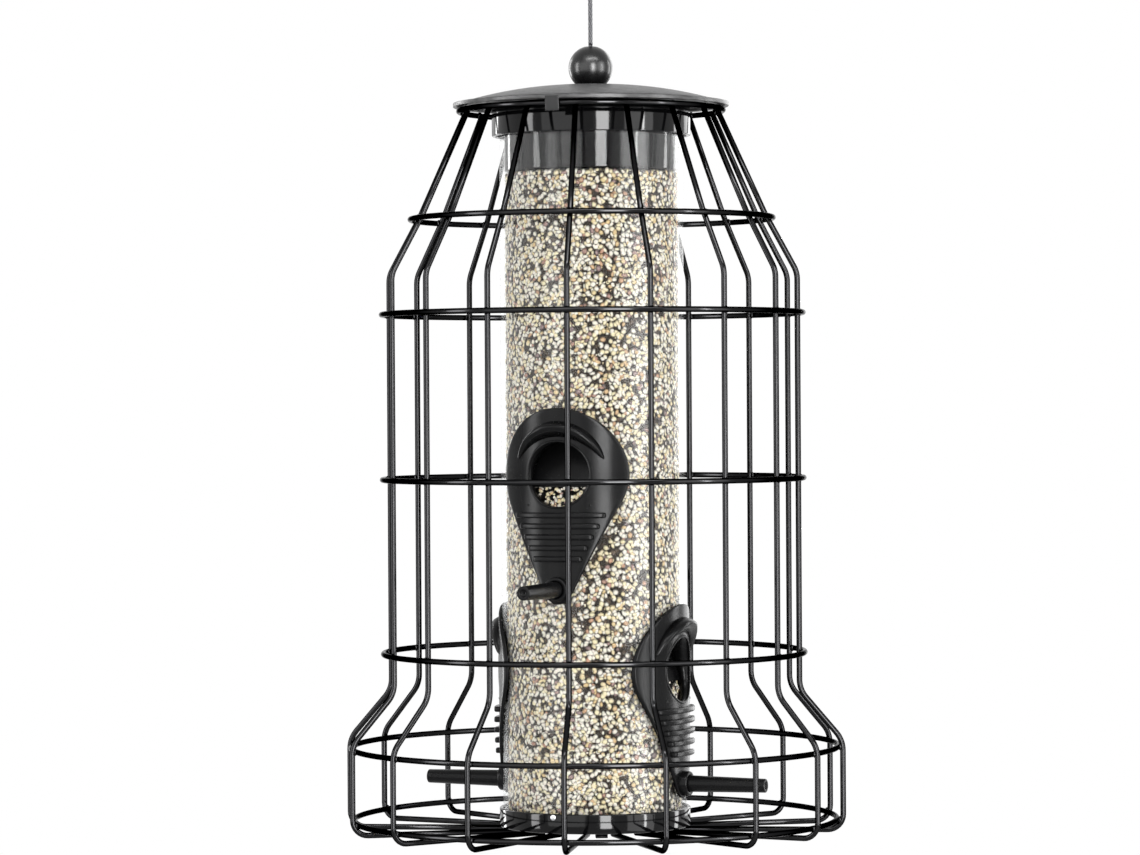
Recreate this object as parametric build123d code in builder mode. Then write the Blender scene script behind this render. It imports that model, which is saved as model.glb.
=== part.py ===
from build123d import *
import math
import os

# Seed feeder: a clear tube of seed that hangs inside a round cage of welded wire.
# Lengths are in millimetres and angles in degrees. Heights are named from the
# cage's underside, and the origin is the point where the rope's eye hangs.

# Welded wire
wire = 2.5
wire_sides = 6
weld = 0.3  # how deep crossing wires melt into each other
wire_corner = wire / 2 / math.cos(math.pi / wire_sides)

# Cage, on the centre lines of its wires
upright_count = 16
ring_sides = 32
seat_ring_sides = 16
cage_turn = 4.0  # from the place where every port faces the middle of a gap
skirt_radius = 108.75
corner_leg = 5.0
skirt_height = 40.2
body_radius = 90.0
body_bottom = 62.2
shoulder_inset = 13.8  # from the body in to the shoulder's bend
crown_radius = 55.4
crown_height = 315.5
crown_rise = 46.0  # from the shoulder's bend up to the crown
shoulder_rise = 25.5  # from the body's top up to the shoulder's bend
shoulder_ring_drop = 17.3  # from the body's top down to its ring
middle_ring_height = 154.5
lower_ring_height = 78.3
skirt_ring_height = 37.3
base_ring_height = 5.5
shoulder_radius = body_radius - shoulder_inset
shoulder_height = crown_height - crown_rise
body_top = shoulder_height - shoulder_rise
shoulder_ring_height = body_top - shoulder_ring_drop

# Seed tube
tube_radius = 40.2
tube_wall = 1.8
tube_rise = 0.5  # how far its rim stands over the uprights' upper ends
tube_top = crown_height + tube_rise
tube_inside = tube_radius - tube_wall

# Where the cage's floor wires carry the tube's cup
seat_inset = 9.2  # from the tube's outside in to the seat ring
seat_overhang = 2.5  # how far the floor wires run in past the seat ring
seat_ring_radius = tube_radius - seat_inset
seat_end_radius = seat_ring_radius - seat_overhang

# Facets of what is turned about the axis, each round named by its flats
round_sides = 48
small_sides = 12
ball_sides = 20

# Running gaps
rest_gap = 0.3  # between faces of the lid or ball and what stays behind
seat_gap = 0.1  # between pieces that stay together
rope_gap = 0.3  # round the rope in the lid and the ball

# Base cup, which stands on the cage's floor wires
cup_wall = 1.5
cup_radius = tube_radius + seat_gap + cup_wall
cup_foot = wire
cup_height = 8.5
cup_top = cup_foot + cup_height
cup_floor = 1.8
recess_reach = 3.0  # from the seat ring out to the recess's side
recess_radius = seat_ring_radius + recess_reach
recess_height = 3.6
tube_foot = cup_foot + recess_height + cup_floor
lug_count = 4
lug_width = 5.0
lug_foot = 0.4
lug_thickness = 1.4
lug_root = 2.5  # how far a lug runs in under the cup's rim
pin_radius = 1.5
pin_head = 0.5
pin_sides = 6

# Feeding ports, which share one moulding
upper_port_height = 157.0
lower_port_height = 71.5
front_angle = -90.0
port_plate = 1.5
port_radius = 28.6
port_foot_radius = 6.5
port_hole_radius = 14.1
sleeve_wall = 1.4
sleeve_reach = 12.0  # how far the hood reaches in at its top
sleeve_sill = 1.0  # and at its bottom
baffle_drop = 5.5  # from the hole's centre down to the edge of the hood's baffle
baffle_thickness = 1.2
perch_drop = 49.5
visor_reach = 4.5
visor_radius = 22.0
visor_depth = 6.5
visor_tip_height = 6.5
rib_count = 5
rib_height = 2.3
rib_pitch = 4.7
rib_drop = 17.6  # from the hole's centre down to the first rib's centre
rib_reach = 2.0
rib_inset = 1.6
hub_radius = 5.4
hub_reach = 3.0
saddle_radius = tube_radius + seat_gap
plate_radius = saddle_radius + port_plate
sleeve_radius = port_hole_radius + sleeve_wall
port_sides = 24  # of a full round in its outline, its hole and its hood
saddle_sides = 30  # of a full round in its plate

# Perch pins
perch_radius = 3.0
perch_length = 39.3
perch_tip_radius = saddle_radius + perch_length
perch_rounding = 1.2

# Top cap
cap_plate = 2.2
collar_gap = 1.5  # between the tube and the collar round it
collar_wall = 1.8
collar_depth = 11.7  # from the tube's rim down to the collar's lower edge
plug_gap = 0.4
plug_wall = 1.6
plug_depth = 27.0  # from the tube's rim down to the plug's lower edge
boss_radius = 6.0
collar_radius = tube_radius + collar_gap + collar_wall
collar_low = tube_top - collar_depth
plug_low = tube_top - plug_depth

# Seed
seed_gap = 0.5  # between the seed and the plug over it
seed_top = plug_low - seed_gap

# Roof
roof_rise = 11.9  # from the uprights' upper ends to the roof's crown
dome_rise = 7.0
crown_flat_radius = 8.0
dome_overhang = 0.6  # from the uprights' upper ends out to the dome's edge
sheet = 0.8
hem_overhang = 5.0  # and out to the hem
hem_thickness = 2.2
dome_chords = 3
tab_turn = 6.0
tab_width = 6.2
tab_drop = 3.6  # from the uprights' upper ends down to the tabs' ends
roof_crown = crown_height + roof_rise
roof_edge = roof_crown - dome_rise
dome_radius = crown_radius + dome_overhang
hem_radius = crown_radius + hem_overhang
tab_low = crown_height - tab_drop

# Ball
ball_radius = 9.6
ball_flat_radius = 5.6
ball_chords = 8

# Rope, eye and anchor
rope = 2.0
lid_travel = 50.0
ball_travel = 6.0
ferrule_length = 10.0
ferrule_wall = 1.0
eye_width = 16.0
eye_length = 24.0
eye_runs = 11  # straight runs of the eye's round top
ferrule_chamfer = 1.2
anchor_radius = 7.0
anchor_thickness = 1.2
anchor_ferrule_length = 2.6
eyelet_wall = 0.8
eyelet_flange = 1.6
eyelet_lip_height = 0.5

overrun = 5.0  # how far a cut runs past what it cuts

# Heights that follow
ball_low = roof_crown
ball_centre = ball_low + math.sqrt(ball_radius**2 - ball_flat_radius**2)
ball_top = ball_centre + ball_radius
ferrule_low = ball_top + lid_travel + ball_travel + rest_gap
ferrule_top = ferrule_low + ferrule_length
eye_top = ferrule_top + eye_length
hang_height = eye_top - rope  # the eye hangs by the underside of its top
hem_low = crown_height + wire_corner + rest_gap
rope_bore = rope / 2 + rope_gap


def above_floor(height):
    """A level plane at a height above the cage's underside."""
    return Plane.XY.offset(height - hang_height)


def meridian(angle):
    """An upright plane whose x runs out from the axis and whose y is the height."""
    turn = math.radians(angle)
    return Plane(
        origin=(0, 0, -hang_height),
        x_dir=(math.cos(turn), math.sin(turn), 0),
        z_dir=(math.sin(turn), -math.cos(turn), 0),
    )


def facing(angle, height):
    """A plane on the axis that faces out at an angle, with its y upwards."""
    turn = math.radians(angle)
    return Plane(
        origin=(0, 0, height - hang_height),
        x_dir=(-math.sin(turn), math.cos(turn), 0),
        z_dir=(math.cos(turn), math.sin(turn), 0),
    )


def save(piece, name):
    """Name a finished piece and write it."""
    piece.label = name
    export_step(piece, f"parts/{name}.step")


os.makedirs("parts", exist_ok=True)

# Cage uprights, each one bent wire from under the cup to the crown
upright_points = [
    (seat_end_radius, wire / 2),
    (skirt_radius - corner_leg, wire / 2),
    (skirt_radius, wire / 2 + corner_leg),
    (skirt_radius, skirt_height),
    (body_radius, body_bottom),
    (body_radius, body_top),
    (shoulder_radius, shoulder_height),
    (crown_radius, crown_height),
]
upright_pitch = 360 / upright_count
first_upright = upright_pitch / 2 + cage_turn


def wire_section(start, along, flat_side):
    """The plane of a wire's section, with a flat of the section facing flat_side."""
    return Plane(origin=start, x_dir=flat_side, z_dir=along)


for number in range(upright_count):
    with BuildPart() as upright:
        with BuildLine(meridian(first_upright + number * upright_pitch)) as bent_line:
            Polyline(*upright_points)
        path = bent_line.wire()
        with BuildSketch(wire_section(path @ 0, path % 0, (0, 0, 1))):
            RegularPolygon(wire / 2, wire_sides, major_radius=False, rotation=180 / wire_sides)
        sweep(path=path, transition=Transition.RIGHT)
    save(upright.part, f"cage_wire_{number + 1:02d}")


# Cage rings, each bent round in straight runs so that a run crosses every upright
def upright_at(height):
    """The radius and the lean of the uprights at a height above the floor wires."""
    for (low_radius, low), (high_radius, high) in zip(upright_points, upright_points[1:]):
        if low < height <= high:
            share = (height - low) / (high - low)
            lean = math.atan2(abs(high_radius - low_radius), high - low)
            return low_radius + share * (high_radius - low_radius), lean
    raise ValueError("no upright at this height")


def radius_outside(height):
    """The radius of a ring that is welded to the outside of the uprights."""
    radius, lean = upright_at(height)
    return radius + (wire - weld) / math.cos(lean)


def radius_inside(height):
    """The radius of a ring that is welded to the inside of the uprights."""
    radius, lean = upright_at(height)
    return radius - (wire - weld) / math.cos(lean)


def cage_ring(radius, height, sides=ring_sides):
    """A ring of wire, its halves joined at two uprights."""
    run = 360 / sides
    corner_radius = radius / math.cos(math.radians(run / 2))
    with BuildPart() as ring:
        for start in (first_upright, first_upright + 180):
            turns = [start + run * (side + 1 / 2) for side in range(sides // 2)]
            corners = [
                (corner_radius * math.cos(math.radians(t)), corner_radius * math.sin(math.radians(t)))
                for t in turns
            ]
            first = (radius * math.cos(math.radians(start)), radius * math.sin(math.radians(start)))
            last = (-first[0], -first[1])
            with BuildLine(above_floor(height)) as round_line:
                Polyline(first, *corners, last)
            path = round_line.wire()
            with BuildSketch(wire_section(path @ 0, path % 0, (first[0], first[1], 0))):
                RegularPolygon(wire / 2, wire_sides, major_radius=False, rotation=180 / wire_sides)
            sweep(path=path, transition=Transition.RIGHT)
    return ring.part


upper_ring_height = shoulder_height - wire / 2
seat_ring_height = wire + wire_corner - weld
save(cage_ring(radius_outside(crown_height), crown_height), "top_ring")
save(cage_ring(radius_outside(upper_ring_height), upper_ring_height), "upper_ring")
save(cage_ring(radius_outside(shoulder_ring_height), shoulder_ring_height), "shoulder_ring")
save(cage_ring(radius_outside(middle_ring_height), middle_ring_height), "middle_ring")
save(cage_ring(radius_outside(lower_ring_height), lower_ring_height), "lower_ring")
save(cage_ring(radius_inside(skirt_ring_height), skirt_ring_height), "skirt_ring")
save(cage_ring(radius_inside(base_ring_height), base_ring_height), "base_ring")
save(cage_ring(seat_ring_radius, seat_ring_height, seat_ring_sides), "seat_ring")

# Where the ports and perches stand: angle and height of each hole's centre
ports = {
    "front": (front_angle, upper_port_height),
    "back": (front_angle + 180, upper_port_height),
    "right": (front_angle + 90, lower_port_height),
    "left": (front_angle + 270, lower_port_height),
}

# Seed tube
with BuildPart() as seed_tube:
    with BuildSketch(above_floor(tube_foot)):
        Circle(tube_radius)
        Circle(tube_inside, mode=Mode.SUBTRACT)
    extrude(amount=tube_top - tube_foot)
    for angle, height in ports.values():
        with BuildSketch(facing(angle, height)):
            RegularPolygon(sleeve_radius + seat_gap, port_sides, major_radius=False)
        extrude(amount=tube_radius + overrun, mode=Mode.SUBTRACT)
save(seed_tube.part, "seed_tube")

# Base cup: a dish for the tube, with a recess below that drops over the seat
# ring and lugs that hook under it between the floor wires
recess_top = cup_foot + recess_height


def round_face(radius, sides=round_sides, mode=Mode.ADD):
    """Draw a round on the open sketch, its flats at the radius."""
    RegularPolygon(radius, sides, major_radius=False, mode=mode)


with BuildPart() as base_cup:
    with BuildSketch(above_floor(cup_foot)):
        round_face(cup_radius)
    extrude(amount=cup_top - cup_foot)
    with BuildSketch(above_floor(tube_foot)):
        round_face(tube_radius + seat_gap)
    extrude(amount=cup_top - tube_foot, mode=Mode.SUBTRACT)
    with BuildSketch(above_floor(cup_foot)):
        round_face(recess_radius)
    extrude(amount=recess_height, mode=Mode.SUBTRACT)
    with BuildSketch(above_floor(recess_top)):
        round_face(rope_bore, small_sides)
    extrude(amount=cup_floor, mode=Mode.SUBTRACT)
    hook_inside = seat_ring_radius - wire / 2
    hook_outside = seat_ring_radius + wire / 2 + rest_gap
    for lug in range(lug_count):
        lug_angle = first_upright + upright_pitch * (lug * upright_count / lug_count + 1 / 2)
        with BuildSketch(meridian(lug_angle)):
            with BuildLine():
                Polyline(
                    (hook_inside, lug_foot),
                    (recess_radius + lug_root, lug_foot),
                    (recess_radius + lug_root, cup_foot + weld),
                    (hook_outside, cup_foot + weld),
                    (hook_outside, lug_foot + lug_thickness),
                    (hook_inside, lug_foot + lug_thickness),
                    close=True,
                )
            make_face()
        extrude(amount=lug_width / 2, both=True)
save(base_cup.part, "base_cup")

# Cup pins, whose heads show on a flat of the cup near its front and back
with BuildPart() as cup_pins:
    pin_angle = front_angle - 180 / round_sides
    for angle in (pin_angle, pin_angle + 180):
        with BuildSketch(facing(angle, (tube_foot + cup_top) / 2).offset(cup_radius)):
            RegularPolygon(pin_radius, pin_sides)
        extrude(amount=pin_head)
save(cup_pins.part, "cup_pins")


# Feeding port, drawn where the tube's axis is the Y axis, the hole's centre is
# at Y zero and Z points out through the hole
def wrapped(outline, low, high):
    """A saddle round the tube's axis between two radii, cut to an outline."""
    foot = -perch_drop - port_foot_radius - overrun
    head = port_radius + overrun
    with BuildPart() as saddle:
        with BuildSketch(Plane.XZ.offset(-head)):
            RegularPolygon(high, saddle_sides, major_radius=False, rotation=90)
            RegularPolygon(low, saddle_sides, major_radius=False, rotation=90, mode=Mode.SUBTRACT)
        extrude(amount=head - foot)
        extrude(outline, amount=high + overrun, mode=Mode.INTERSECT)
    return saddle.part


def round_run(radius, centre, first, last):
    """Points on a round stretch of the port's outline, from angle to angle."""
    count = max(2, round(abs(last - first) * port_sides / 360))
    turns = [math.radians(first + (last - first) * step / count) for step in range(count + 1)]
    return [(radius * math.cos(t), centre + radius * math.sin(t)) for t in turns]


def teardrop(inset):
    """The port's outline: a round head over the hole, tapered to the perch's foot."""
    head = port_radius - inset
    foot = port_foot_radius - inset
    tangent = math.degrees(math.asin((head - foot) / perch_drop))
    with BuildSketch() as outline:
        with BuildLine():
            Polyline(
                *round_run(head, 0, -tangent, 180 + tangent),
                *round_run(foot, -perch_drop, 180 + tangent, 360 - tangent),
                close=True,
            )
        make_face()
    return outline.sketch


def crescent():
    """The visor's outline over the hole, from tip to tip."""
    tip = math.degrees(math.asin(visor_tip_height / visor_radius))
    tip_across = visor_radius * math.cos(math.radians(tip))
    # the lower edge's circle passes through both tips and the crescent's middle
    low = visor_radius - visor_depth
    rise = low - visor_tip_height
    low_radius = (tip_across**2 + rise**2) / (2 * rise)
    low_tip = math.degrees(math.asin((low_radius - rise) / low_radius))
    with BuildSketch() as outline:
        with BuildLine():
            Polyline(
                *round_run(visor_radius, 0, tip, 180 - tip),
                *round_run(low_radius, low - low_radius, 180 - low_tip, low_tip)[1:-1],
                close=True,
            )
        make_face()
    return outline.sketch


def rib_bars():
    """The ribs' outlines below the hole, each as wide as the plate is there."""
    with BuildSketch() as bars:
        with Locations((0, -rib_drop - rib_pitch * (rib_count - 1) / 2)):
            with GridLocations(0, rib_pitch, 1, rib_count):
                Rectangle(2 * port_radius, rib_height)
        add(teardrop(rib_inset), mode=Mode.INTERSECT)
    return bars.sketch


def round_bar(radius, height, sides):
    """A sketch of a bar across the port at a height from the hole's centre."""
    with BuildSketch() as section:
        with Locations((0, height)):
            RegularPolygon(radius, sides, major_radius=False)
    return section.sketch


# The hood's inner end slopes from its reach at the top out to its sill
hood_slope = Plane(
    origin=(0, -sleeve_radius, tube_inside - sleeve_sill),
    x_dir=(1, 0, 0),
    z_dir=(0, sleeve_reach - sleeve_sill, 2 * sleeve_radius),
)


def hood_space(radius, reach):
    """The round space of a hood, from its sloping inner end out to a reach."""
    with BuildPart() as space:
        extrude(round_bar(radius, 0, port_sides), amount=reach + overrun)
        split(bisect_by=hood_slope, keep=Keep.TOP)
        with BuildSketch(Plane.XZ):
            RegularPolygon(reach, saddle_sides, major_radius=False, rotation=90)
        extrude(amount=sleeve_radius + overrun, both=True, mode=Mode.INTERSECT)
    return space.part


plate_middle = (saddle_radius + plate_radius) / 2
# The baffle closes the upper part of the hood's inner end, so that seed comes
# through only at the sill
with BuildPart() as baffle:
    add(hood_space(sleeve_radius, plate_middle))
    split(bisect_by=hood_slope.offset(baffle_thickness), keep=Keep.BOTTOM)
    split(bisect_by=Plane.XZ.offset(baffle_drop), keep=Keep.BOTTOM)
plate = wrapped(teardrop(0), saddle_radius, plate_radius)
visor = wrapped(crescent(), plate_middle, plate_radius + visor_reach)
ribs = wrapped(rib_bars(), plate_middle, plate_radius + rib_reach)
hood = hood_space(sleeve_radius, plate_middle)
hub = round_bar(hub_radius, -perch_drop, small_sides)
with BuildPart() as feeding_port:
    add(plate)
    add(visor)
    add(ribs)
    add(hood)
    with BuildSketch(Plane.XY.offset(plate_middle)):
        add(hub)
    extrude(amount=plate_radius + hub_reach - plate_middle)
    extrude(
        round_bar(port_hole_radius, 0, port_sides),
        amount=plate_radius + overrun,
        mode=Mode.SUBTRACT,
    )
    extrude(
        round_bar(perch_radius + seat_gap, -perch_drop, small_sides),
        amount=plate_radius + hub_reach + overrun,
        mode=Mode.SUBTRACT,
    )
    add(baffle.part)
for side, (angle, height) in ports.items():
    save(facing(angle, height).location * feeding_port.part, f"{side}_port")

# Perch pins, each pushed into its port's foot as far as the tube
for side, (angle, height) in ports.items():
    out = facing(angle, height - perch_drop)
    with BuildPart() as perch:
        with BuildSketch(out.offset(saddle_radius)):
            round_face(perch_radius, small_sides)
        extrude(amount=perch_tip_radius - saddle_radius)
        tip = perch.faces().sort_by(Axis(out.origin, out.z_dir))[-1]
        chamfer(tip.edges(), length=perch_rounding)
    save(perch.part, f"{side}_perch")

# Seed, up to just under the cap's plug, with the room that the hoods keep free
hood_room = hood_space(sleeve_radius + seat_gap, tube_radius)
with BuildPart() as seed_fill:
    with BuildSketch(above_floor(tube_foot)):
        round_face(tube_inside - seat_gap)
        round_face(rope_bore, small_sides, Mode.SUBTRACT)
    extrude(amount=seed_top - tube_foot)
    for angle, height in ports.values():
        add(facing(angle, height).location * hood_room, mode=Mode.SUBTRACT)
save(seed_fill.part, "seed_fill")

# Top cap: a plate on the tube's rim, with a collar outside the tube, a plug
# inside it and a boss that carries the roof
cap_low = tube_top
cap_high = cap_low + cap_plate
boss_top = roof_crown - sheet
plug_radius = tube_inside - plug_gap
eyelet_radius = rope_bore + eyelet_wall
with BuildPart() as top_cap:
    with BuildSketch(above_floor(cap_low)):
        round_face(collar_radius)
    extrude(amount=cap_plate)
    with BuildSketch(above_floor(collar_low)):
        round_face(collar_radius)
        round_face(collar_radius - collar_wall, mode=Mode.SUBTRACT)
    extrude(amount=cap_low - collar_low)
    with BuildSketch(above_floor(plug_low)):
        round_face(plug_radius)
        round_face(plug_radius - plug_wall, mode=Mode.SUBTRACT)
    extrude(amount=cap_low - plug_low)
    with BuildSketch(above_floor(cap_high)):
        round_face(boss_radius, small_sides)
    extrude(amount=boss_top - cap_high)
    with BuildSketch(above_floor(cap_low)):
        round_face(eyelet_radius + seat_gap, small_sides)
    extrude(amount=boss_top - cap_low, mode=Mode.SUBTRACT)
save(top_cap.part, "top_cap")


def turned(profile, sides):
    """A piece turned in flat facets from a profile of radii and heights."""
    half_turn = 180 / sides
    with BuildPart() as wedge:
        with BuildSketch(meridian(0)):
            with BuildLine():
                Polyline(*profile, close=True)
            make_face()
        extrude(amount=max(radius for radius, height in profile), both=True)
        split(bisect_by=meridian(half_turn), keep=Keep.TOP)
        split(bisect_by=meridian(-half_turn), keep=Keep.BOTTOM)
    with BuildPart() as piece:
        with PolarLocations(0, sides):
            add(wedge.part)
    return piece.part


# Roof: a thin dome whose hem lies over the top ring, with two folded tabs
# that hang down outside the ring
def dome_height(radius):
    """The dome's height at a radius, on an arc that starts level at the crown."""
    span = dome_radius - crown_flat_radius
    drop = roof_crown - roof_edge
    curve = (span**2 + drop**2) / (2 * drop)
    return roof_crown - curve + math.sqrt(curve**2 - (radius - crown_flat_radius) ** 2)


dome_step = (dome_radius - crown_flat_radius) / dome_chords
dome_radii = [crown_flat_radius + step * dome_step for step in range(dome_chords + 1)]
dome_profile = [(r, dome_height(r)) for r in dome_radii]
under_profile = [(r - sheet, height - sheet) for r, height in dome_profile]
hem_high = hem_low + hem_thickness
dome = turned(
    [
        (rope / 2, roof_crown),
        *dome_profile,
        (dome_radius, hem_high),
        (hem_radius, hem_high),
        (hem_radius, hem_low),
        (dome_radius - sheet, hem_low),
        *reversed(under_profile),
        (rope / 2, roof_crown - sheet),
    ],
    round_sides,
)
with BuildPart() as roof:
    add(dome)
    for angle in (front_angle + tab_turn, front_angle + tab_turn + 180):
        with BuildSketch(meridian(angle)):
            with Locations((hem_radius - sheet / 2, (tab_low + hem_high - weld) / 2)):
                Rectangle(sheet, hem_high - weld - tab_low)
        extrude(amount=tab_width / 2, both=True)
    with BuildSketch(above_floor(boss_top)):
        round_face(eyelet_radius + seat_gap, small_sides)
    extrude(amount=sheet, mode=Mode.SUBTRACT)
save(roof.part, "roof")

# Eyelet that holds the roof to the cap's boss, open for the rope
with BuildPart() as roof_eyelet:
    with BuildSketch(above_floor(cap_low - eyelet_lip_height)):
        round_face(eyelet_radius + eyelet_flange, small_sides)
    extrude(amount=eyelet_lip_height)
    with BuildSketch(above_floor(cap_low)):
        round_face(eyelet_radius, small_sides)
    extrude(amount=roof_crown - cap_low)
    with BuildSketch(above_floor(cap_low - eyelet_lip_height)):
        round_face(rope_bore, small_sides)
    extrude(amount=roof_crown - cap_low + eyelet_lip_height, mode=Mode.SUBTRACT)
save(roof_eyelet.part, "roof_eyelet")

# Ball that slides on the rope and rests on the roof by a small flat
flat_angle = math.degrees(math.acos(ball_flat_radius / ball_radius))
top_angle = math.degrees(math.acos(2 * rope_bore / ball_radius))
ball_turns = [
    math.radians((flat_angle + top_angle) * step / ball_chords - flat_angle)
    for step in range(ball_chords + 1)
]
ball_profile = [
    (ball_radius * math.cos(t), ball_centre + ball_radius * math.sin(t)) for t in ball_turns
]
ball = turned([(rope / 2, ball_low), *ball_profile, (rope / 2, ball_profile[-1][1])], ball_sides)
with BuildPart() as stop_ball:
    add(ball)
    with BuildSketch(above_floor(ball_low)):
        round_face(rope_bore, small_sides)
    extrude(amount=ball_top - ball_low, mode=Mode.SUBTRACT)
save(stop_ball.part, "stop_ball")


# Rope: a core from its anchor under the cup up to the ball, and the run above
def rope_run(low, high):
    """A length of rope on the axis."""
    with BuildPart() as run:
        with BuildSketch(above_floor(low)):
            RegularPolygon(rope / 2, small_sides)
        extrude(amount=high - low)
    return run.part


anchor_low = recess_top - anchor_thickness
save(rope_run(anchor_low, ball_top), "core_rope")
save(rope_run(ball_top, ferrule_low), "hanging_rope")
with BuildPart() as anchor_washer:
    with BuildSketch(above_floor(anchor_low)):
        round_face(anchor_radius, small_sides)
        round_face(rope_bore, small_sides, Mode.SUBTRACT)
    extrude(amount=anchor_thickness)
save(anchor_washer.part, "anchor_washer")
with BuildPart() as anchor_ferrule:
    with BuildSketch(above_floor(anchor_low - anchor_ferrule_length)):
        round_face(rope + ferrule_wall, small_sides)
    extrude(amount=anchor_ferrule_length)
save(anchor_ferrule.part, "anchor_ferrule")

# Eye at the rope's end: a crimped sleeve, and a loop that comes out of it and
# goes back in beside itself
with BuildPart() as eye_ferrule:
    with BuildSketch(above_floor(ferrule_low)) as sleeve_end:
        Rectangle(2 * (rope + ferrule_wall), rope + 2 * ferrule_wall)
        chamfer(sleeve_end.vertices(), length=ferrule_chamfer)
    extrude(amount=ferrule_length)
save(eye_ferrule.part, "eye_ferrule")

loop_radius = (eye_width - rope) / 2
loop_centre = eye_top - rope / 2 - loop_radius
leg_across = rope / 2 + rope_gap
leg_height = ferrule_top + rope
leg_reach = math.hypot(leg_across, loop_centre - leg_height)
leg_turn = math.acos(loop_radius / leg_reach) - math.atan2(loop_centre - leg_height, leg_across)
loop_span = math.pi - 2 * leg_turn
loop_corner = loop_radius / math.cos(loop_span / eye_runs / 2)
loop_points = [
    (
        loop_corner * math.cos(leg_turn + loop_span * run / eye_runs),
        loop_centre + loop_corner * math.sin(leg_turn + loop_span * run / eye_runs),
    )
    for run in range(eye_runs + 1)
]
with BuildPart() as rope_eye:
    with BuildLine(meridian(0)) as eye_line:
        Polyline(
            (leg_across, ferrule_top),
            (leg_across, leg_height),
            *loop_points,
            (-leg_across, leg_height),
            (-leg_across, ferrule_top),
        )
    path = eye_line.wire()
    with BuildSketch(wire_section(path @ 0, path % 0, (1, 0, 0))):
        RegularPolygon(rope / 2, wire_sides, major_radius=False, rotation=180 / wire_sides)
    sweep(path=path, transition=Transition.RIGHT)
save(rope_eye.part, "rope_eye")
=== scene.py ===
"""Seed feeder in a round wire cage, hung by a steel rope, in a pale studio."""

import math
import random

import bmesh
import bpy
from bmesh.types import BMEdge, BMFace, BMVert
from bpy.props import FloatProperty, FloatVectorProperty, IntProperty, PointerProperty
from mathutils import Matrix, Vector


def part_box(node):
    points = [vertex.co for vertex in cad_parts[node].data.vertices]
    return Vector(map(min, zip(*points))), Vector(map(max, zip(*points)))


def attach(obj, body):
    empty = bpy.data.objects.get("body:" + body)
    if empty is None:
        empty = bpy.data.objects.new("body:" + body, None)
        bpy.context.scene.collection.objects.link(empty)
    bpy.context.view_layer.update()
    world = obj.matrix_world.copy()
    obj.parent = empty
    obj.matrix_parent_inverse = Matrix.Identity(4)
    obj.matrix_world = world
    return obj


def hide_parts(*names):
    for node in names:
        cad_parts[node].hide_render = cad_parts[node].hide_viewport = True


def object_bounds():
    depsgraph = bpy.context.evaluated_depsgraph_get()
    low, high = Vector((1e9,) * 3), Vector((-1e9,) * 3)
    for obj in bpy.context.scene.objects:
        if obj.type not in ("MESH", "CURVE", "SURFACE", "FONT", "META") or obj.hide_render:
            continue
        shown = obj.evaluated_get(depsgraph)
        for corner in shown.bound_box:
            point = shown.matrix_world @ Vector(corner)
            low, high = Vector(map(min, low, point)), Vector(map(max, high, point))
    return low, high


bl_info = {
    "name": "Caged Seed Feeder",
    "version": (1, 0, 0),
    "blender": (4, 5, 0),
    "location": "View3D > Sidebar > Feeder",
    "description": "Builds the pieces, finishes and studio of a hanging seed feeder",
    "category": "Object",
}

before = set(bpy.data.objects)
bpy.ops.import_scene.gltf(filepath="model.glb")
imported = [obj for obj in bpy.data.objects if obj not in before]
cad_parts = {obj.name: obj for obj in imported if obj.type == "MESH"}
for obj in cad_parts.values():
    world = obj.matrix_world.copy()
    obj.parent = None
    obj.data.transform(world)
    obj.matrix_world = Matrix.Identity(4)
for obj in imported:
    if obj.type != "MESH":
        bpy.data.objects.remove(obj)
cad_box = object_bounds()

FULL_TURN = 2 * math.pi
UP = Vector((0, 0, 1))
FLOOR = cad_box[0][2]  # the underside of the cage
TUBE_LOW, TUBE_HIGH = (corner[2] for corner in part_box("seed_tube"))
BALL_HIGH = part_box("stop_ball")[1][2]
FERRULE_LOW, FERRULE_HIGH = (corner[2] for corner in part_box("eye_ferrule"))
FRONT, RIGHT, BACK, LEFT = (math.radians(turn) for turn in (-90, 0, 90, 180))
PORT_NAMES = ("front", "back", "right", "left")
PLAY = 0.0001  # between pieces that fit in each other
HOOD_SLOPE = 11 / 31  # how far a hood's inner end runs in for each length that it rises


def length(name, default, description):
    """A length that a user can set, in metres."""
    return FloatProperty(name=name, default=default, description=description, unit="LENGTH")


def angle(name, degrees, description):
    """An angle that a user can set."""
    default = math.radians(degrees)
    return FloatProperty(name=name, default=default, description=description, subtype="ANGLE")


def count(name, default, description):
    """A number of like things that a user can set."""
    return IntProperty(name=name, default=default, description=description)


def colour(name, default, description):
    """A colour that a user can set."""
    return FloatVectorProperty(
        name=name, default=default, description=description, subtype="COLOR", size=3, min=0, max=1
    )


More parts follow.
